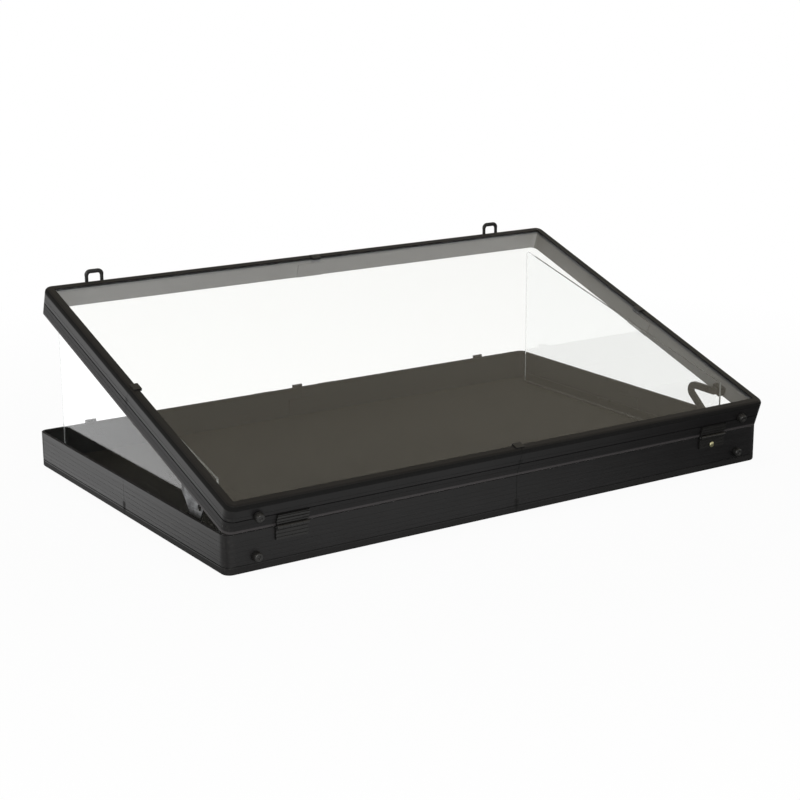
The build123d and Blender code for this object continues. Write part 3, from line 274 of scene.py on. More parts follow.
def anodised_rail(name, in_lid):
    """Extruded aluminium, dyed black and sealed: satin, with faint die lines that run round the
    case along every rail, paler rubbed corners, and dirt and a dark bruise where two rails butt
    together. The strip below the trim groove is duller. The lid has painted shade on the shoulder
    under its lip, which is black and dull, and a painted highlight, a pale band, along its lowest
    few millimetres; the base has dull corners and a dusty rim. Inside, the base is sprayed matt
    black and the lid is left in its etched finish, pale along the sides, with painted shade that
    makes the ends greyer."""
    material, tree = new_material(name)
    place = add(tree, "ShaderNodeSeparateXYZ", {0: case_coordinates(tree, in_lid)})
    across = add(tree, "ShaderNodeMath", {0: place.outputs["X"]}, operation="ABSOLUTE").outputs[0]
    along = add(tree, "ShaderNodeMath", {0: place.outputs["Y"]}, operation="ABSOLUTE").outputs[0]
    from_end = add(tree, "ShaderNodeMath", {
        0: CASE_WIDTH / 2, 1: across,
    }, operation="SUBTRACT").outputs[0]
    from_side = add(tree, "ShaderNodeMath", {
        0: CASE_DEPTH / 2, 1: along,
    }, operation="SUBTRACT").outputs[0]
    inward = depth_behind_face(tree, from_end, from_side)
    unrolled = add(tree, "ShaderNodeMath", {
        0: inward, 1: place.outputs["Z"],
    }, operation="ADD").outputs[0]
    run = add(tree, "ShaderNodeMath", {
        0: place.outputs["X"], 1: place.outputs["Y"],
    }, operation="ADD").outputs[0]
    profile = add(tree, "ShaderNodeCombineXYZ", {0: unrolled, 1: run}).outputs[0]
    # real die lines are about 0.3 mm apart; they are drawn 2 mm apart so that they show
    stretched = add(tree, "ShaderNodeMapping", {0: profile, "Scale": (500.0, 4.0, 1.0)}).outputs[0]
    lines = add(tree, "ShaderNodeTexNoise", {
        "Vector": stretched, "Scale": 1.0, "Detail": 3.0, "Roughness": 0.6,
    }).outputs[0]
    cloud = add(tree, "ShaderNodeTexNoise", {
        "Vector": case_coordinates(tree, in_lid), "Scale": 18.0, "Detail": 4.0,
    }).outputs[0]
    tone = add(tree, "ShaderNodeMath", {0: lines, 1: cloud}, operation="MULTIPLY").outputs[0]
    dye = add(tree, "ShaderNodeMapRange", {0: tone, "From Min": 0.12, "From Max": 0.4}).outputs[0]
    body = add(tree, "ShaderNodeMix", {
        "Factor": dye, "A": linear("#0c0b0c"), "B": linear("#141314"),
    }, data_type="RGBA").outputs["Result"]
    # corners rubbed in small spots, which let a little grey metal through
    corner = add(tree, "ShaderNodeMath", {
        0: from_end, 1: from_side,
    }, operation="MAXIMUM").outputs[0]
    near = add(tree, "ShaderNodeMapRange", {
        0: corner, "From Min": 0.003, "From Max": 0.016, "To Min": 1.0, "To Max": 0.0,
    }).outputs[0]
    chafe = add(tree, "ShaderNodeTexNoise", {
        "Vector": case_coordinates(tree, in_lid), "Scale": 240.0, "Detail": 5.0,
    }).outputs[0]
    spots = add(tree, "ShaderNodeMapRange", {
        0: chafe, "From Min": 0.5, "From Max": 0.66,
    }).outputs[0]
    rubbed = add(tree, "ShaderNodeMath", {0: near, 1: spots}, operation="MULTIPLY").outputs[0]
    rubbed = add(tree, "ShaderNodeMath", {0: rubbed, 1: 0.12}, operation="MULTIPLY").outputs[0]
    body = add(tree, "ShaderNodeMix", {
        "Factor": rubbed, "A": body, "B": linear("#5c5a57"),
    }, data_type="RGBA").outputs["Result"]
    # dirt in the butt joints of the rails
    to_seam = add(tree, "ShaderNodeMath", {0: across, 1: along}, operation="MINIMUM").outputs[0]
    seam = add(tree, "ShaderNodeMapRange", {
        0: to_seam, "From Min": 0.0006, "From Max": 0.0012, "To Min": 1.0, "To Max": 0.0,
    }).outputs[0]
    body = add(tree, "ShaderNodeMix", {
        "Factor": seam, "A": body, "B": linear("#050505"),
    }, data_type="RGBA").outputs["Result"]
    rough = add(tree, "ShaderNodeMapRange", {
        0: lines, "From Min": 0.3, "From Max": 0.7, "To Min": 0.34, "To Max": 0.46,
    }).outputs[0]
    # the strip below the trim groove is duller; each joint is bruised from low to high
    if in_lid:
        groove, low, high = LID_BOTTOM + 16.4 * MM, LID_BOTTOM + 15.5 * MM, LID_BOTTOM + 25 * MM
    else:
        groove, low, high = 9 * MM, 5 * MM, 21 * MM
    band = add(tree, "ShaderNodeMapRange", {
        "Value": place.outputs["Z"], "From Min": groove - 0.5 * MM, "From Max": groove,
        "To Min": 1.0, "To Max": 0.0,
    }).outputs[0]
    above = add(tree, "ShaderNodeMapRange", {
        "Value": place.outputs["Z"], "From Min": low, "From Max": low + 2 * MM,
    }).outputs[0]
    under = add(tree, "ShaderNodeMapRange", {
        "Value": place.outputs["Z"], "From Min": high - 2 * MM, "From Max": high, "To Min": 1.0,
        "To Max": 0.0,
    }).outputs[0]
    beside = add(tree, "ShaderNodeMapRange", {
        "Value": to_seam, "From Min": 2.5 * MM, "From Max": 5 * MM, "To Min": 1.0, "To Max": 0.0,
    }).outputs[0]
    bruise = add(tree, "ShaderNodeMath", {0: above, 1: under}, operation="MULTIPLY").outputs[0]
    bruise = add(tree, "ShaderNodeMath", {0: bruise, 1: beside}, operation="MULTIPLY").outputs[0]
    dull = add(tree, "ShaderNodeMath", {0: band, 1: bruise}, operation="MAXIMUM").outputs[0]
    rough = add(tree, "ShaderNodeMix", {
        "Factor": dull, "A": rough, "B": 0.55 if in_lid else 0.8,
    }).outputs["Result"]
    body = add(tree, "ShaderNodeMix", {
        "Factor": bruise, "A": body, "B": linear("#060606"),
    }, data_type="RGBA").outputs["Result"]
    if in_lid:
        # painted shade: the shoulder under the lip is painted black, as the unlit round-over, and
        # made dull; a painted highlight makes the lid's lowest few millimetres pale
        start, end = LID_TOP - 7.5 * MM, LID_TOP - 0.8 * MM
        above = add(tree, "ShaderNodeMapRange", {
            "Value": place.outputs["Z"], "From Min": start, "From Max": start + 1.5 * MM,
        }).outputs[0]
        under = add(tree, "ShaderNodeMapRange", {
            "Value": place.outputs["Z"], "From Min": end - 0.6 * MM, "From Max": end,
            "To Min": 1.0, "To Max": 0.0,
        }).outputs[0]
        shoulder = add(tree, "ShaderNodeMath", {
            0: above, 1: under,
        }, operation="MULTIPLY").outputs[0]
        rough = add(tree, "ShaderNodeMix", {
            "Factor": shoulder, "A": rough, "B": 0.9,
        }).outputs["Result"]
        body = add(tree, "ShaderNodeMix", {
            "Factor": shoulder, "A": body, "B": linear("#050505"),
        }, data_type="RGBA").outputs["Result"]
        # painted highlight: the lowest few millimetres of the lid are painted pale, as the light
        # line along them
        edge = add(tree, "ShaderNodeMapRange", {
            "Value": place.outputs["Z"], "From Min": LID_BOTTOM + 2.5 * MM,
            "From Max": LID_BOTTOM + 4.5 * MM, "To Min": 1.0, "To Max": 0.0,
        }).outputs[0]
        body = add(tree, "ShaderNodeMix", {
            "Factor": edge, "A": body, "B": linear("#3d3a3b"),
        }, data_type="RGBA").outputs["Result"]
    else:
        # the upright corners have lost their gloss
        rough = add(tree, "ShaderNodeMix", {"Factor": near, "A": rough, "B": 0.8}).outputs["Result"]
    # the inside of the wall, which starts 2.4 mm in from the face
    behind = add(tree, "ShaderNodeMath", {
        0: inward, 1: 1.5 * MM,
    }, operation="GREATER_THAN").outputs[0]
    top = (LID_TOP - 2.1 * MM) if in_lid else (BASE_HEIGHT - 0.1 * MM)
    below = add(tree, "ShaderNodeMath", {
        0: place.outputs["Z"], 1: top,
    }, operation="LESS_THAN").outputs[0]
    inside = add(tree, "ShaderNodeMath", {0: behind, 1: below}, operation="MULTIPLY").outputs[0]
    lining = linear("#0d0d0c")
    if in_lid:
        # painted shade: one finish lines the lid, and its ends are painted greyer than its sides
        painted_shade_at_end = add(tree, "ShaderNodeMath", {
            0: from_end, 1: from_side,
        }, operation="LESS_THAN").outputs[0]
        lining = add(tree, "ShaderNodeMix", {
            "Factor": painted_shade_at_end, "A": linear("#a6a6a8"), "B": linear("#767677"),
        }, data_type="RGBA").outputs["Result"]
    body = add(tree, "ShaderNodeMix", {
        "Factor": inside, "A": body, "B": lining,
    }, data_type="RGBA").outputs["Result"]
    rough = add(tree, "ShaderNodeMix", {
        "Factor": inside, "A": rough, "B": 0.6 if in_lid else 0.85,
    }).outputs["Result"]
    if not in_lid:
        # the rim that the lid shuts on is dull with dust
        rim = add(tree, "ShaderNodeMapRange", {
            "Value": place.outputs["Z"], "From Min": BASE_HEIGHT - 0.12 * MM,
            "From Max": BASE_HEIGHT - 0.05 * MM,
        }).outputs[0]
        rough = add(tree, "ShaderNodeMix", {"Factor": rim, "A": rough, "B": 1.0}).outputs["Result"]
    bump = add(tree, "ShaderNodeBump", {
        "Height": lines, "Strength": 0.25, "Distance": 0.1 * MM,
    }).outputs[0]
    shader = add(tree, "ShaderNodeBsdfPrincipled", {
        "Base Color": body, "Roughness": rough, "IOR": 1.45,
        "Specular IOR Level": 0.4 if in_lid else 0.5, "Normal": bump,
    })
    add(tree, "ShaderNodeOutputMaterial", {"Surface": shader.outputs[0]})
    return material


def enamelled_steel():
    """Pressed steel with a baked black enamel: an even semi-gloss coat, whose fine orange peel
    breaks up the highlights."""
    material, tree = new_material("baked_enamel_on_steel")
    place = add(tree, "ShaderNodeTexCoord").outputs["Object"]
    # the peel's dimples are about 1.2 mm apart
    peel = add(tree, "ShaderNodeTexNoise", {
        "Vector": place, "Scale": 800.0, "Detail": 2.0,
    }).outputs[0]
    cloud = add(tree, "ShaderNodeTexNoise", {
        "Vector": place, "Scale": 60.0, "Detail": 4.0,
    }).outputs[0]
    body = add(tree, "ShaderNodeMix", {
        "Factor": cloud, "A": linear("#131312"), "B": linear("#201f1e"),
    }, data_type="RGBA").outputs["Result"]
    rough = add(tree, "ShaderNodeMapRange", {
        0: cloud, "From Min": 0.3, "From Max": 0.7, "To Min": 0.26, "To Max": 0.4,
    }).outputs[0]
    bump = add(tree, "ShaderNodeBump", {
        "Height": peel, "Strength": 0.3, "Distance": 0.08 * MM,
    }).outputs[0]
    shader = add(tree, "ShaderNodeBsdfPrincipled", {
        "Base Color": body, "Roughness": rough, "IOR": 1.5, "Normal": bump,
    })
    add(tree, "ShaderNodeOutputMaterial", {"Surface": shader.outputs[0]})
    return material


def plated_metal(name, low, high, rough_low, rough_high, streaks):
    """Plated or turned metal: fine streaks along one way, and stains that are duller and darker.
    The streaks are noise that is scaled by this many waves a metre along each axis."""
    material, tree = new_material(name)
    place = add(tree, "ShaderNodeTexCoord").outputs["Object"]
    stretched = add(tree, "ShaderNodeMapping", {0: place, "Scale": streaks}).outputs[0]
    lines = add(tree, "ShaderNodeTexNoise", {
        "Vector": stretched, "Scale": 1.0, "Detail": 3.0,
    }).outputs[0]
    stain = add(tree, "ShaderNodeTexNoise", {
        "Vector": place, "Scale": 150.0, "Detail": 5.0,
    }).outputs[0]
    tone = add(tree, "ShaderNodeMath", {0: lines, 1: stain}, operation="ADD").outputs[0]
    tone = add(tree, "ShaderNodeMapRange", {0: tone, "From Min": 0.8, "From Max": 1.2}).outputs[0]
    body = add(tree, "ShaderNodeMix", {
        "Factor": tone, "A": linear(low), "B": linear(high),
    }, data_type="RGBA").outputs["Result"]
    rough = add(tree, "ShaderNodeMapRange", {
        0: tone, "To Min": rough_high, "To Max": rough_low,
    }).outputs[0]
    bump = add(tree, "ShaderNodeBump", {
        "Height": lines, "Strength": 0.2, "Distance": 0.05 * MM,
    }).outputs[0]
    shader = add(tree, "ShaderNodeBsdfPrincipled", {
        "Base Color": body, "Metallic": 1.0, "Roughness": rough, "Normal": bump,
    })
    add(tree, "ShaderNodeOutputMaterial", {"Surface": shader.outputs[0]})
    return material


def moulded_plastic(name, low, high, rough_low, rough_high):
    """Moulded ABS from a spark-eroded tool: fine even grain, which gives a soft highlight. Extruded
    rubber and painted hardboard have the same grain and less gloss."""
    material, tree = new_material(name)
    place = add(tree, "ShaderNodeTexCoord").outputs["Object"]
    # the tool's grain is about 0.5 mm; it is drawn at 1 mm so that it shows
    grain = add(tree, "ShaderNodeTexVoronoi", {
        "Vector": place, "Scale": 1000.0,
    }, feature="F1").outputs["Distance"]
    cloud = add(tree, "ShaderNodeTexNoise", {
        "Vector": place, "Scale": 70.0, "Detail": 4.0,
    }).outputs[0]
    body = add(tree, "ShaderNodeMix", {
        "Factor": cloud, "A": linear(low), "B": linear(high),
    }, data_type="RGBA").outputs["Result"]
    rough = add(tree, "ShaderNodeMapRange", {
        0: cloud, "From Min": 0.3, "From Max": 0.7, "To Min": rough_low, "To Max": rough_high,
    }).outputs[0]
    bump = add(tree, "ShaderNodeBump", {
        "Height": grain, "Strength": 0.35, "Distance": 0.08 * MM,
    }).outputs[0]
    shader = add(tree, "ShaderNodeBsdfPrincipled", {
        "Base Color": body, "Roughness": rough, "IOR": 1.53, "Normal": bump,
    })
    add(tree, "ShaderNodeOutputMaterial", {"Surface": shader.outputs[0]})
    return material


def needled_felt():
    """Needle-punched polyester felt: matted tufts lying every way, dull and near black from above,
    and a soft brownish sheen at a low angle."""
    material, tree = new_material("needle_punched_felt")
    place = add(tree, "ShaderNodeTexCoord").outputs["Object"]
    warp = add(tree, "ShaderNodeTexNoise", {
        "Vector": place, "Scale": 260.0, "Detail": 3.0, "Distortion": 2.5,
    }).outputs[0]
    # single fibres are too fine to show; matted tufts are drawn at 1.5 mm
    tufts = add(tree, "ShaderNodeTexNoise", {
        "Vector": place, "Scale": 650.0, "Detail": 6.0, "Roughness": 0.75, "Distortion": 1.5,
    }).outputs[0]
    cloud = add(tree, "ShaderNodeTexNoise", {
        "Vector": place, "Scale": 9.0, "Detail": 3.0,
    }).outputs[0]
    nap = add(tree, "ShaderNodeMath", {0: tufts, 1: warp}, operation="ADD").outputs[0]
    tone = add(tree, "ShaderNodeMath", {0: nap, 1: cloud}, operation="ADD").outputs[0]
    tone = add(tree, "ShaderNodeMapRange", {0: tone, "From Min": 1.2, "From Max": 1.8}).outputs[0]
    body = add(tree, "ShaderNodeMix", {
        "Factor": tone, "A": linear("#0e0d0b"), "B": linear("#191714"),
    }, data_type="RGBA").outputs["Result"]
    bump = add(tree, "ShaderNodeBump", {
        "Height": nap, "Strength": 0.6, "Distance": 0.4 * MM,
    }).outputs[0]
    shader = add(tree, "ShaderNodeBsdfPrincipled", {
        "Base Color": body, "Roughness": 0.95, "IOR": 1.45, "Specular IOR Level": 0.25,
        "Sheen Weight": 0.05, "Sheen Roughness": 0.5, "Sheen Tint": linear("#8d8778"),
        "Normal": bump,
    })
    add(tree, "ShaderNodeOutputMaterial", {"Surface": shader.outputs[0]})
    return material


def clear_sheet(name, tint, ior, edge):
    """A clear sheet: its faces mirror and bend light, but throw no dark shadow into the case, and
    faint smears dull them here and there. Where an edge colour is given, the edges are painted with
    it: partly painted light, the glow that edges gather, and partly their milky finish. The upright
    ones are sawn, the top one is flame polished and hardly shows."""
    material, tree = new_material(name)
    place = add(tree, "ShaderNodeTexCoord")
    smear = add(tree, "ShaderNodeTexNoise", {
        "Vector": place.outputs["Object"], "Scale": 7.0, "Detail": 3.0,
    }).outputs[0]
    rough = add(tree, "ShaderNodeMapRange", {
        0: smear, "From Min": 0.45, "From Max": 0.75, "To Min": 0.0, "To Max": 0.02,
    }).outputs[0]
    glass = add(tree, "ShaderNodeBsdfPrincipled", {
        "Base Color": linear(tint), "Roughness": rough, "IOR": ior, "Transmission Weight": 1.0,
    }).outputs[0]
    through = add(tree, "ShaderNodeBsdfTransparent", {0: linear(tint)}).outputs[0]
    if edge:
        normal = add(tree, "ShaderNodeSeparateXYZ", {0: place.outputs["Normal"]})
        facing = add(tree, "ShaderNodeMath", {
            0: normal.outputs["X"],
        }, operation="ABSOLUTE").outputs[0]
        side = add(tree, "ShaderNodeMapRange", {
            0: facing, "From Min": 0.3, "From Max": 0.6, "To Min": 1.0, "To Max": 0.0,
        }).outputs[0]
        top = add(tree, "ShaderNodeMapRange", {
            0: normal.outputs["Z"], "From Min": 0.2, "From Max": 0.6,
        }).outputs[0]
        # the pale edge colour is partly painted light, the glow that the edges gather, and partly
        # their milky finish
        edge_finish_and_glow = add(tree, "ShaderNodeBsdfPrincipled", {
            "Base Color": linear(edge), "Roughness": 0.25, "IOR": ior,
        }).outputs[0]
        sawn = add(tree, "ShaderNodeMixShader", {0: 0.4, 1: through, 2: edge_finish_and_glow}).outputs[0]
        flamed = add(tree, "ShaderNodeMixShader", {0: 0.15, 1: through, 2: edge_finish_and_glow}).outputs[0]
        rim = add(tree, "ShaderNodeMixShader", {0: top, 1: sawn, 2: flamed}).outputs[0]
        glass = add(tree, "ShaderNodeMixShader", {0: side, 1: glass, 2: rim}).outputs[0]
    shadow = add(tree, "ShaderNodeLightPath").outputs["Is Shadow Ray"]
    shader = add(tree, "ShaderNodeMixShader", {0: shadow, 1: glass, 2: through}).outputs[0]
    add(tree, "ShaderNodeOutputMaterial", {"Surface": shader})
    return material


def dress(material, *names):
    """The CAD nodes keep their shape and take this material."""
    for name in names:
        if not nodes[name].material_slots:
            nodes[name].data.materials.append(None)
        for slot in nodes[name].material_slots:
            slot.link = "OBJECT"
            slot.material = material


def ease_edges(width, *names):
    """Small fittings keep their shape. Their sharp edges are rounded this much, to catch light."""
    for name in names:
        weld = nodes[name].modifiers.new("weld", "WELD")
        weld.merge_threshold = 0.001 * MM
        bevel = nodes[name].modifiers.new("eased_edges", "BEVEL")
        bevel.width = width
        bevel.segments = 3
        bevel.limit_method = "ANGLE"
        bevel.angle_limit = math.radians(40)


# --- New pieces, worked out as surfaces ---

def opened(points):
    """Points of the closed lid, turned about the hinge line to where the lid stands."""
    moved = points - HINGE_LINE
    cos, sin = math.cos(LID_ANGLE), math.sin(LID_ANGLE)
    back, up = moved[..., 1], moved[..., 2]
    return np.stack([moved[..., 0], cos * back - sin * up, sin * back + cos * up], -1) + HINGE_LINE


def piece_of_shells(name, shells, material):
    """One object out of closed shells. A shell is a grid of points, rings of points that close on
    themselves, with its first and last ring drawn in to a point each."""
    points, faces, start = [], [], 0
    for grid in shells:
        rings, around = grid.shape[:2]
        index = start + np.arange(rings * around).reshape(rings, around)
        following = np.roll(index, -1, 1)
        quads = np.stack([index[:-1], following[:-1], following[1:], index[1:]], -1).reshape(-1, 4)
        first, last = start + rings * around, start + rings * around + 1
        caps_low = np.stack([np.full(around, first), following[0], index[0]], -1)
        caps_high = np.stack([np.full(around, last), index[-1], following[-1]], -1)
        cloud = np.concatenate([grid.reshape(-1, 3), grid[0].mean(0)[None], grid[-1].mean(0)[None]])
        halves = [quads[:, [0, 1, 2]], quads[:, [0, 2, 3]]]
        corners = cloud[np.concatenate([*halves, caps_low, caps_high]) - start]
        volume = np.einsum("ij,ij->i", corners[:, 0], np.cross(corners[:, 1], corners[:, 2])).sum()
        if volume < 0:
            quads, caps_low, caps_high = quads[:, ::-1], caps_low[:, ::-1], caps_high[:, ::-1]
        points.append(cloud)
        faces += quads.tolist() + caps_low.tolist() + caps_high.tolist()
        start += len(cloud)
    mesh = bpy.data.meshes.new(name)
    mesh.from_pydata(np.concatenate(points).tolist(), [], faces)
    mesh.polygons.foreach_set("use_smooth", np.full(len(faces), True))
    mesh.materials.append(material)
    mesh.update()
    made = bpy.data.objects.new(name, mesh)
    bpy.context.scene.collection.objects.link(made)
    return made


def bar_along(path, side, half_width, half_thick, squareness, around):
    """A closed bar. At each point of the path its section is a superellipse, n the squareness:
    |across / half_width|^n + |through / half_thick|^n = 1.
    Width is counted across the path in its own plane, thickness along side. Where both halves
    shrink along a quarter circle toward an end, that end is round."""
    step = np.gradient(path, axis=0)
    step /= np.linalg.norm(step, axis=1)[:, None]
    across = np.cross(side, step)
    turn = np.linspace(0, 2 * np.pi, around, endpoint=False)
    power = 2 / np.asarray(squareness)[:, None]
    cos = np.sign(np.cos(turn)) * np.abs(np.cos(turn)) ** power
    sin = np.sign(np.sin(turn)) * np.abs(np.sin(turn)) ** power
    wide = (half_width[:, None] * cos)[..., None] * across[:, None]
    thick = (half_thick[:, None] * sin)[..., None] * side
    return path[:, None] + wide + thick


def turned_shell(profile, foot, axis, around=40):
    """A surface of revolution: the profile's pairs of radius and height go round an axis that
    starts at foot."""
    axis = np.asarray(axis, float)
    first = np.cross(axis, (0.0, 0.0, 1.0) if abs(axis[2]) < 0.9 else (1.0, 0.0, 0.0))
    first /= np.linalg.norm(first)
    second = np.cross(axis, first)
    turn = np.linspace(0, 2 * np.pi, around, endpoint=False)
    spoke = np.cos(turn)[:, None] * first + np.sin(turn)[:, None] * second
    radius, height = np.asarray(profile, float).T
    return np.asarray(foot) + radius[:, None, None] * spoke + height[:, None, None] * axis


def rounded_corner_path(corners, radius, spacing):
    """Straight runs between the corners with an arc of this radius at each inner one, as points
    this far apart, and how far along the path each point is."""
    pieces = [corners[0][None]]
    for before, corner, after in zip(corners[:-2], corners[1:-1], corners[2:]):
        arrive = (corner - before) / np.linalg.norm(corner - before)
        leave = (after - corner) / np.linalg.norm(after - corner)
        half = math.acos(np.clip(arrive @ leave, -1, 1)) / 2
        cut = radius * math.tan(half)
        toward = (leave - arrive) / np.linalg.norm(leave - arrive)
        centre = corner + toward * radius / math.cos(half)
        start = corner - cut * arrive - centre
        swing = np.linspace(0, 2 * half, 14)
        arc = centre + np.cos(swing)[:, None] * start + np.sin(swing)[:, None] * radius * arrive
        pieces.append(arc)
    pieces.append(corners[-1][None])
    path = np.concatenate(pieces)
    length = np.concatenate([[0], np.cumsum(np.linalg.norm(np.diff(path, axis=0), axis=1))])
    even = np.linspace(0, length[-1], int(length[-1] / spacing))
    return np.stack([np.interp(even, length, path[:, i]) for i in range(3)], 1), even


def make_handle(material):
    """The moulded carrying handle: one bar whose section goes from a flat rounded strap at the arms
    to a round grip, on two barrels that turn on the handle pins. It droops until the grip lies on
    the table: the sine of its angle is the pivot's height less the grip's radius, over its reach.
    The change of section is eased, 3 t t - 2 t t t, from 0.35 of the reach on."""
    low, high = (np.array(corner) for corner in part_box("handle_pins"))
    pivot = (low + high) / 2
    arm_x, reach, arm_out, arm_in = 58.5 * MM, 46 * MM, 69 * MM, 45 * MM
    grip_radius, arm_half_width, arm_half_thick, end_rounding = 11 * MM, 10.5 * MM, 4.4 * MM, 4 * MM
    droop = math.asin((pivot[2] - grip_radius) / reach)
    out = np.array([0.0, math.cos(droop), -math.sin(droop)])
    normal = np.array([0.0, math.sin(droop), math.cos(droop)])
    corners = np.array([
        pivot + (-arm_x, 0, 0), pivot + (-arm_x, 0, 0) + reach * out,
        pivot + (arm_x, 0, 0) + reach * out, pivot + (arm_x, 0, 0),
    ])
    path, run = rounded_corner_path(corners, 15 * MM, 1.5 * MM)
    reached = (path - pivot) @ out / reach
    blend = np.clip((reached - 0.35) / 0.65, 0, 1)
    blend = blend * blend * (3 - 2 * blend)
    from_end = np.minimum(run, run[-1] - run)
    ends = np.sqrt(np.clip(1 - (1 - np.clip(from_end / end_rounding, 0, 1)) ** 2, 0.0004, 1))
    half_width = ((1 - blend) * arm_half_width + blend * grip_radius) * ends
    half_thick = ((1 - blend) * arm_half_thick + blend * grip_radius) * ends
    shells = [bar_along(path, normal, half_width, half_thick, 3.6 - 1.5 * blend, around=48)]
    # barrel profile: outside with rounded rims, closed by the pin that fills its bore
    barrel = np.array([
        (2.5, 0.0), (3.7, 0.0), (4.3, 0.3), (4.5, 0.9),
        (4.5, 23.1), (4.3, 23.7), (3.7, 24.0), (2.5, 24.0),
    ]) * MM
    for start in (arm_in, -arm_out):
        shells.append(turned_shell(barrel, pivot + (start, 0, 0), (1, 0, 0)))
    handle = piece_of_shells("moulded_carrying_handle", shells, material)
    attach(handle, "handle")
    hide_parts("carrying_handle")


def make_hasp_loop(place, x_hasp, upward, lean, material):
    """A hasp loop bent from flat bar with rolled edges, its arms let into a turned barrel. It is
    drawn flat against the closed lid, up or down from its pin, leans out about the pin, and is then
    carried open with the lid."""
    pin_out, pin_rise = 6 * MM, 21 * MM
    pivot = np.array([x_hasp, MOUTH_FACE + pin_out, LID_BOTTOM + pin_rise])
    reach, width, arm, bar, thick = 28.2 * MM, 28.0 * MM, 4.9 * MM, 6.0 * MM, 3.6 * MM
    side = (width - arm) / 2
    far = upward * (reach - bar / 2)
    corners = np.array([(-side, 0, 0), (-side, 0, far), (side, 0, far), (side, 0, 0)])
    path, _ = rounded_corner_path(corners, 5.6 * MM, 0.8 * MM)
    # the bar across the end is wider than the arms, which widen toward it over 3 mm
    middle = np.clip((np.abs(path[:, 2]) - (reach - bar - 4 * MM)) / (3 * MM), 0, 1)
    half_width = (arm + (bar - arm) * middle) / 2
    flat = np.ones(len(path))
    outward = np.array([0.0, 1.0, 0.0])
    loop = bar_along(path, outward, half_width, flat * thick / 2, flat * 3.2, around=20)
    barrel = np.array([
        (1.6, 0.0), (2.2, 0.0), (2.6, 0.5), (2.6, 27.5), (2.2, 28.0), (1.6, 28.0),
    ]) * MM
    shell = turned_shell(barrel, (-width / 2, 0, 0), (1, 0, 0), around=24)
    cos, sin = math.cos(lean), math.sin(lean)
    turn = np.array([(1, 0, 0), (0, cos, -sin), (0, sin, cos)])
    shells = [opened(grid @ turn.T + pivot) for grid in (loop, shell)]
    made = piece_of_shells(f"bent_hasp_loop_{place}", shells, material)
    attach(made, f"hasp_{place}")
    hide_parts(f"hasp_loop_{place}")


def make_feet(name, node, body, level, in_lid, material):
    """Two moulded feet, each a dome with a rounded shoulder and a dimple that sinks its rivet. They
    start 0.02 mm in front of the face that they are riveted to."""
    profile = np.array([
        (6.3, 0.0), (6.5, 0.3), (6.45, 1.5), (6.3, 3.5), (6.05, 5.3),
        (5.7, 6.6), (5.2, 7.4), (4.4, 7.85), (3.4, 8.0), (2.5, 7.9),
        (2.1, 7.5), (2.0, 6.9), (1.7, 6.8), (1.2, 7.05), (0.5, 7.2),
    ]) * MM
    shells = []
    for x in (-FOOT_X, FOOT_X):
        shell = turned_shell(profile, (x, HINGE_FACE - 0.02 * MM, level), (0, -1, 0))
        shells.append(opened(shell) if in_lid else shell)
    feet = piece_of_shells(name, shells, material)
    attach(feet, body)
    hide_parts(node)


def make_screw(material):
    """The head of the hinge screw: a short upright rim, then a shallow dome of 7.8 mm radius."""
    low, high = (np.array(corner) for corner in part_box("hinge_screw"))
    foot = np.array([(low[0] + high[0]) / 2, high[1], (low[2] + high[2]) / 2])
    profile = np.array([
        (4.0, 0.0), (4.0, 0.26), (3.9, 0.36), (3.5, 0.57), (3.0, 0.80),
        (2.4, 1.02), (1.8, 1.19), (1.2, 1.31), (0.6, 1.38), (0.15, 1.4),
    ]) * MM
    screw = piece_of_shells("domed_screw_head", [turned_shell(profile, foot, (0, -1, 0))], material)
    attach(screw, "base")
    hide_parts("hinge_screw")


def lay_felt(material):
    """The lining: a slab whose top dips by up to 0.25 mm in long soft waves, the sum of two
    products of sines. Its outline is a rectangle whose corner squares are drawn onto quarter discs,
    x = u * sqrt(1 - v * v / 2)."""
    half_x, half_y, radius = 428.4 * MM, 275.9 * MM, 8.8 * MM
    top_level, dip, bottom_level = 6.5 * MM, 0.25 * MM, 5.02 * MM
    columns, rows = 145, 97
    u = np.linspace(-1, 1, columns)
    v = np.linspace(-1, 1, rows)
    x, y = np.meshgrid(u * half_x, v * half_y)
    over_x = np.clip((np.abs(x) - half_x + radius) / radius, 0, 1)
    over_y = np.clip((np.abs(y) - half_y + radius) / radius, 0, 1)
    disc_x = radius * over_x * np.sqrt(1 - over_y ** 2 / 2)
    disc_y = radius * over_y * np.sqrt(1 - over_x ** 2 / 2)
    x = np.sign(x) * (np.minimum(np.abs(x), half_x - radius) + disc_x)
    y = np.sign(y) * (np.minimum(np.abs(y), half_y - radius) + disc_y)
    wave = np.sin(x * 23 + 1.3) * np.sin(y * 31 + 0.4)
    wave = wave + 0.6 * np.sin(x * 61 + y * 17) * np.sin(y * 47 - 0.8)
    top = top_level - dip * (wave - wave.min()) / (wave.max() - wave.min())
    upper = np.stack([x, y + MIDDLE, top], -1).reshape(-1, 3)
    lower = upper.copy()
    lower[:, 2] = bottom_level
    index = np.arange(rows * columns).reshape(rows, columns)
    quads = np.stack([index[:-1, :-1], index[:-1, 1:], index[1:, 1:], index[1:, :-1]], -1)
    quads = quads.reshape(-1, 4)
    rim = np.concatenate([index[0, :-1], index[:-1, -1], index[-1, :0:-1], index[:0:-1, 0]])
    after = np.roll(rim, -1)
    count = rows * columns
    walls = np.stack([rim + count, after + count, after, rim], -1)
    faces = np.concatenate([quads, quads[:, ::-1] + count, walls])
    mesh = bpy.data.meshes.new("felt_lining")
    mesh.from_pydata(np.concatenate([upper, lower]).tolist(), [], faces.tolist())
    mesh.materials.append(material)
    mesh.update()
    felt = bpy.data.objects.new("felt_lining", mesh)
    bpy.context.scene.collection.objects.link(felt)
    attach(felt, "base")
    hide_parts("floor_lining")


aim_camera()
light_studio()
lay_floor()

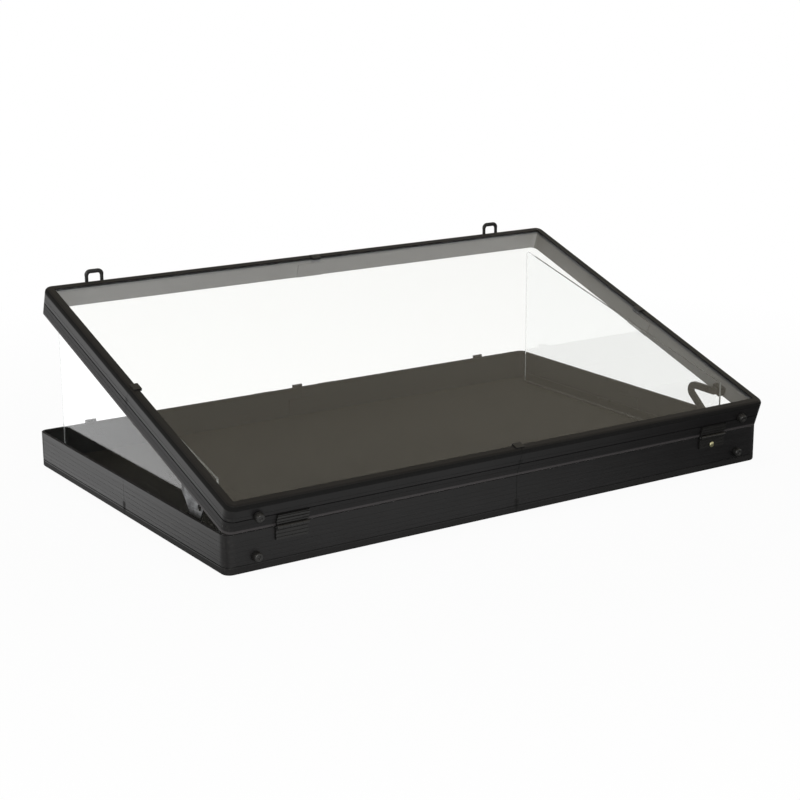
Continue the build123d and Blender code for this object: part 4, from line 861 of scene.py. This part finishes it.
base_metal = anodised_rail("satin_black_anodised_base", False)
lid_metal = anodised_rail("satin_black_anodised_lid", True)
enamel = enamelled_steel()
# painted shade: the zinc's colours are set darker than bright plate, as the shade the plate lies in
zinc = plated_metal("dull_zinc_plate_painted_dark", "#5e5f60", "#828384", 0.42, 0.58, (40, 40, 900))
brass = plated_metal("turned_brass", "#b5b083", "#dcd9b4", 0.3, 0.45, (900, 40, 900))
plastic = moulded_plastic("moulded_black_abs", "#161615", "#222120", 0.34, 0.46)
rubber = moulded_plastic("extruded_seal_rubber", "#0f0f0f", "#1a1a19", 0.55, 0.7)
hardboard = moulded_plastic("black_painted_hardboard", "#1a1918", "#262422", 0.6, 0.8)
felt_cloth = needled_felt()
glass = clear_sheet("float_glass", "#fbfcfb", 1.52, None)
# the acrylic's pale edge colour is partly painted light, the glow that its edges gather
acrylic = clear_sheet("cast_acrylic_edges_with_painted_glow", "#fdfefe", 1.49, "#d6d8d8")

sides = ("left", "right")
rails = ("hinge_left", "hinge_right", "mouth_left", "mouth_right")
dress(base_metal, *[f"base_rail_{rail}" for rail in rails], "base_splice_plates")
dress(lid_metal, *[f"lid_rail_{rail}" for rail in rails], "lid_splice_plates")
for side in sides:
    dress(enamel, f"hinge_base_leaf_{side}", f"hinge_lid_leaf_{side}", f"stay_arm_{side}")
    dress(enamel, f"panel_hinge_leaf_{side}", f"panel_hinge_strip_{side}")
    dress(acrylic, f"side_panel_{side}")
for place in (*sides, "center"):
    dress(enamel, f"hasp_plate_{place}", f"lock_body_{place}")
    dress(enamel, f"latch_slide_{place}", f"lock_catch_{place}")
    dress(brass, f"key_cylinder_{place}")
dress(enamel, "stay_brackets", "stay_lugs", "lid_seam_clips", "base_rivets", "lid_rivets")
dress(plastic, "handle_brackets")
dress(zinc, "stay_check_plate", "stay_studs")
dress(zinc, "lid_hinge_pins", "hasp_pins", "handle_pins", "panel_hinge_pins")
dress(rubber, "glazing_seal")
dress(hardboard, "floor_panel")
dress(glass, "lid_glass")

for side in sides:
    ease_edges(1.4 * MM, f"stay_arm_{side}")
    ease_edges(0.3 * MM, f"hinge_base_leaf_{side}", f"hinge_lid_leaf_{side}")
for place in (*sides, "center"):
    ease_edges(0.3 * MM, f"hasp_plate_{place}", f"latch_slide_{place}", f"key_cylinder_{place}")
ease_edges(0.4 * MM, "handle_brackets", "stay_lugs", "lid_seam_clips")

lay_felt(felt_cloth)
make_handle(plastic)
make_screw(brass)
# the outer loops are flipped up, the middle one hangs; all sit 4.5 mm left of their lock's middle
hasps = (("left", -LOCK_X, 1, -19), ("right", LOCK_X, 1, -19), ("center", 0.0, -1, 15))
for place, lock_x, upward, lean in hasps:
    make_hasp_loop(place, lock_x - 4.5 * MM, upward, math.radians(lean), enamel)
make_feet("domed_base_feet", "base_feet", "base", 19 * MM, False, plastic)
make_feet("domed_lid_feet", "lid_feet", "lid", BASE_HEIGHT + 21 * MM, True, plastic)

bpy.context.scene.view_settings.view_transform = "Standard"
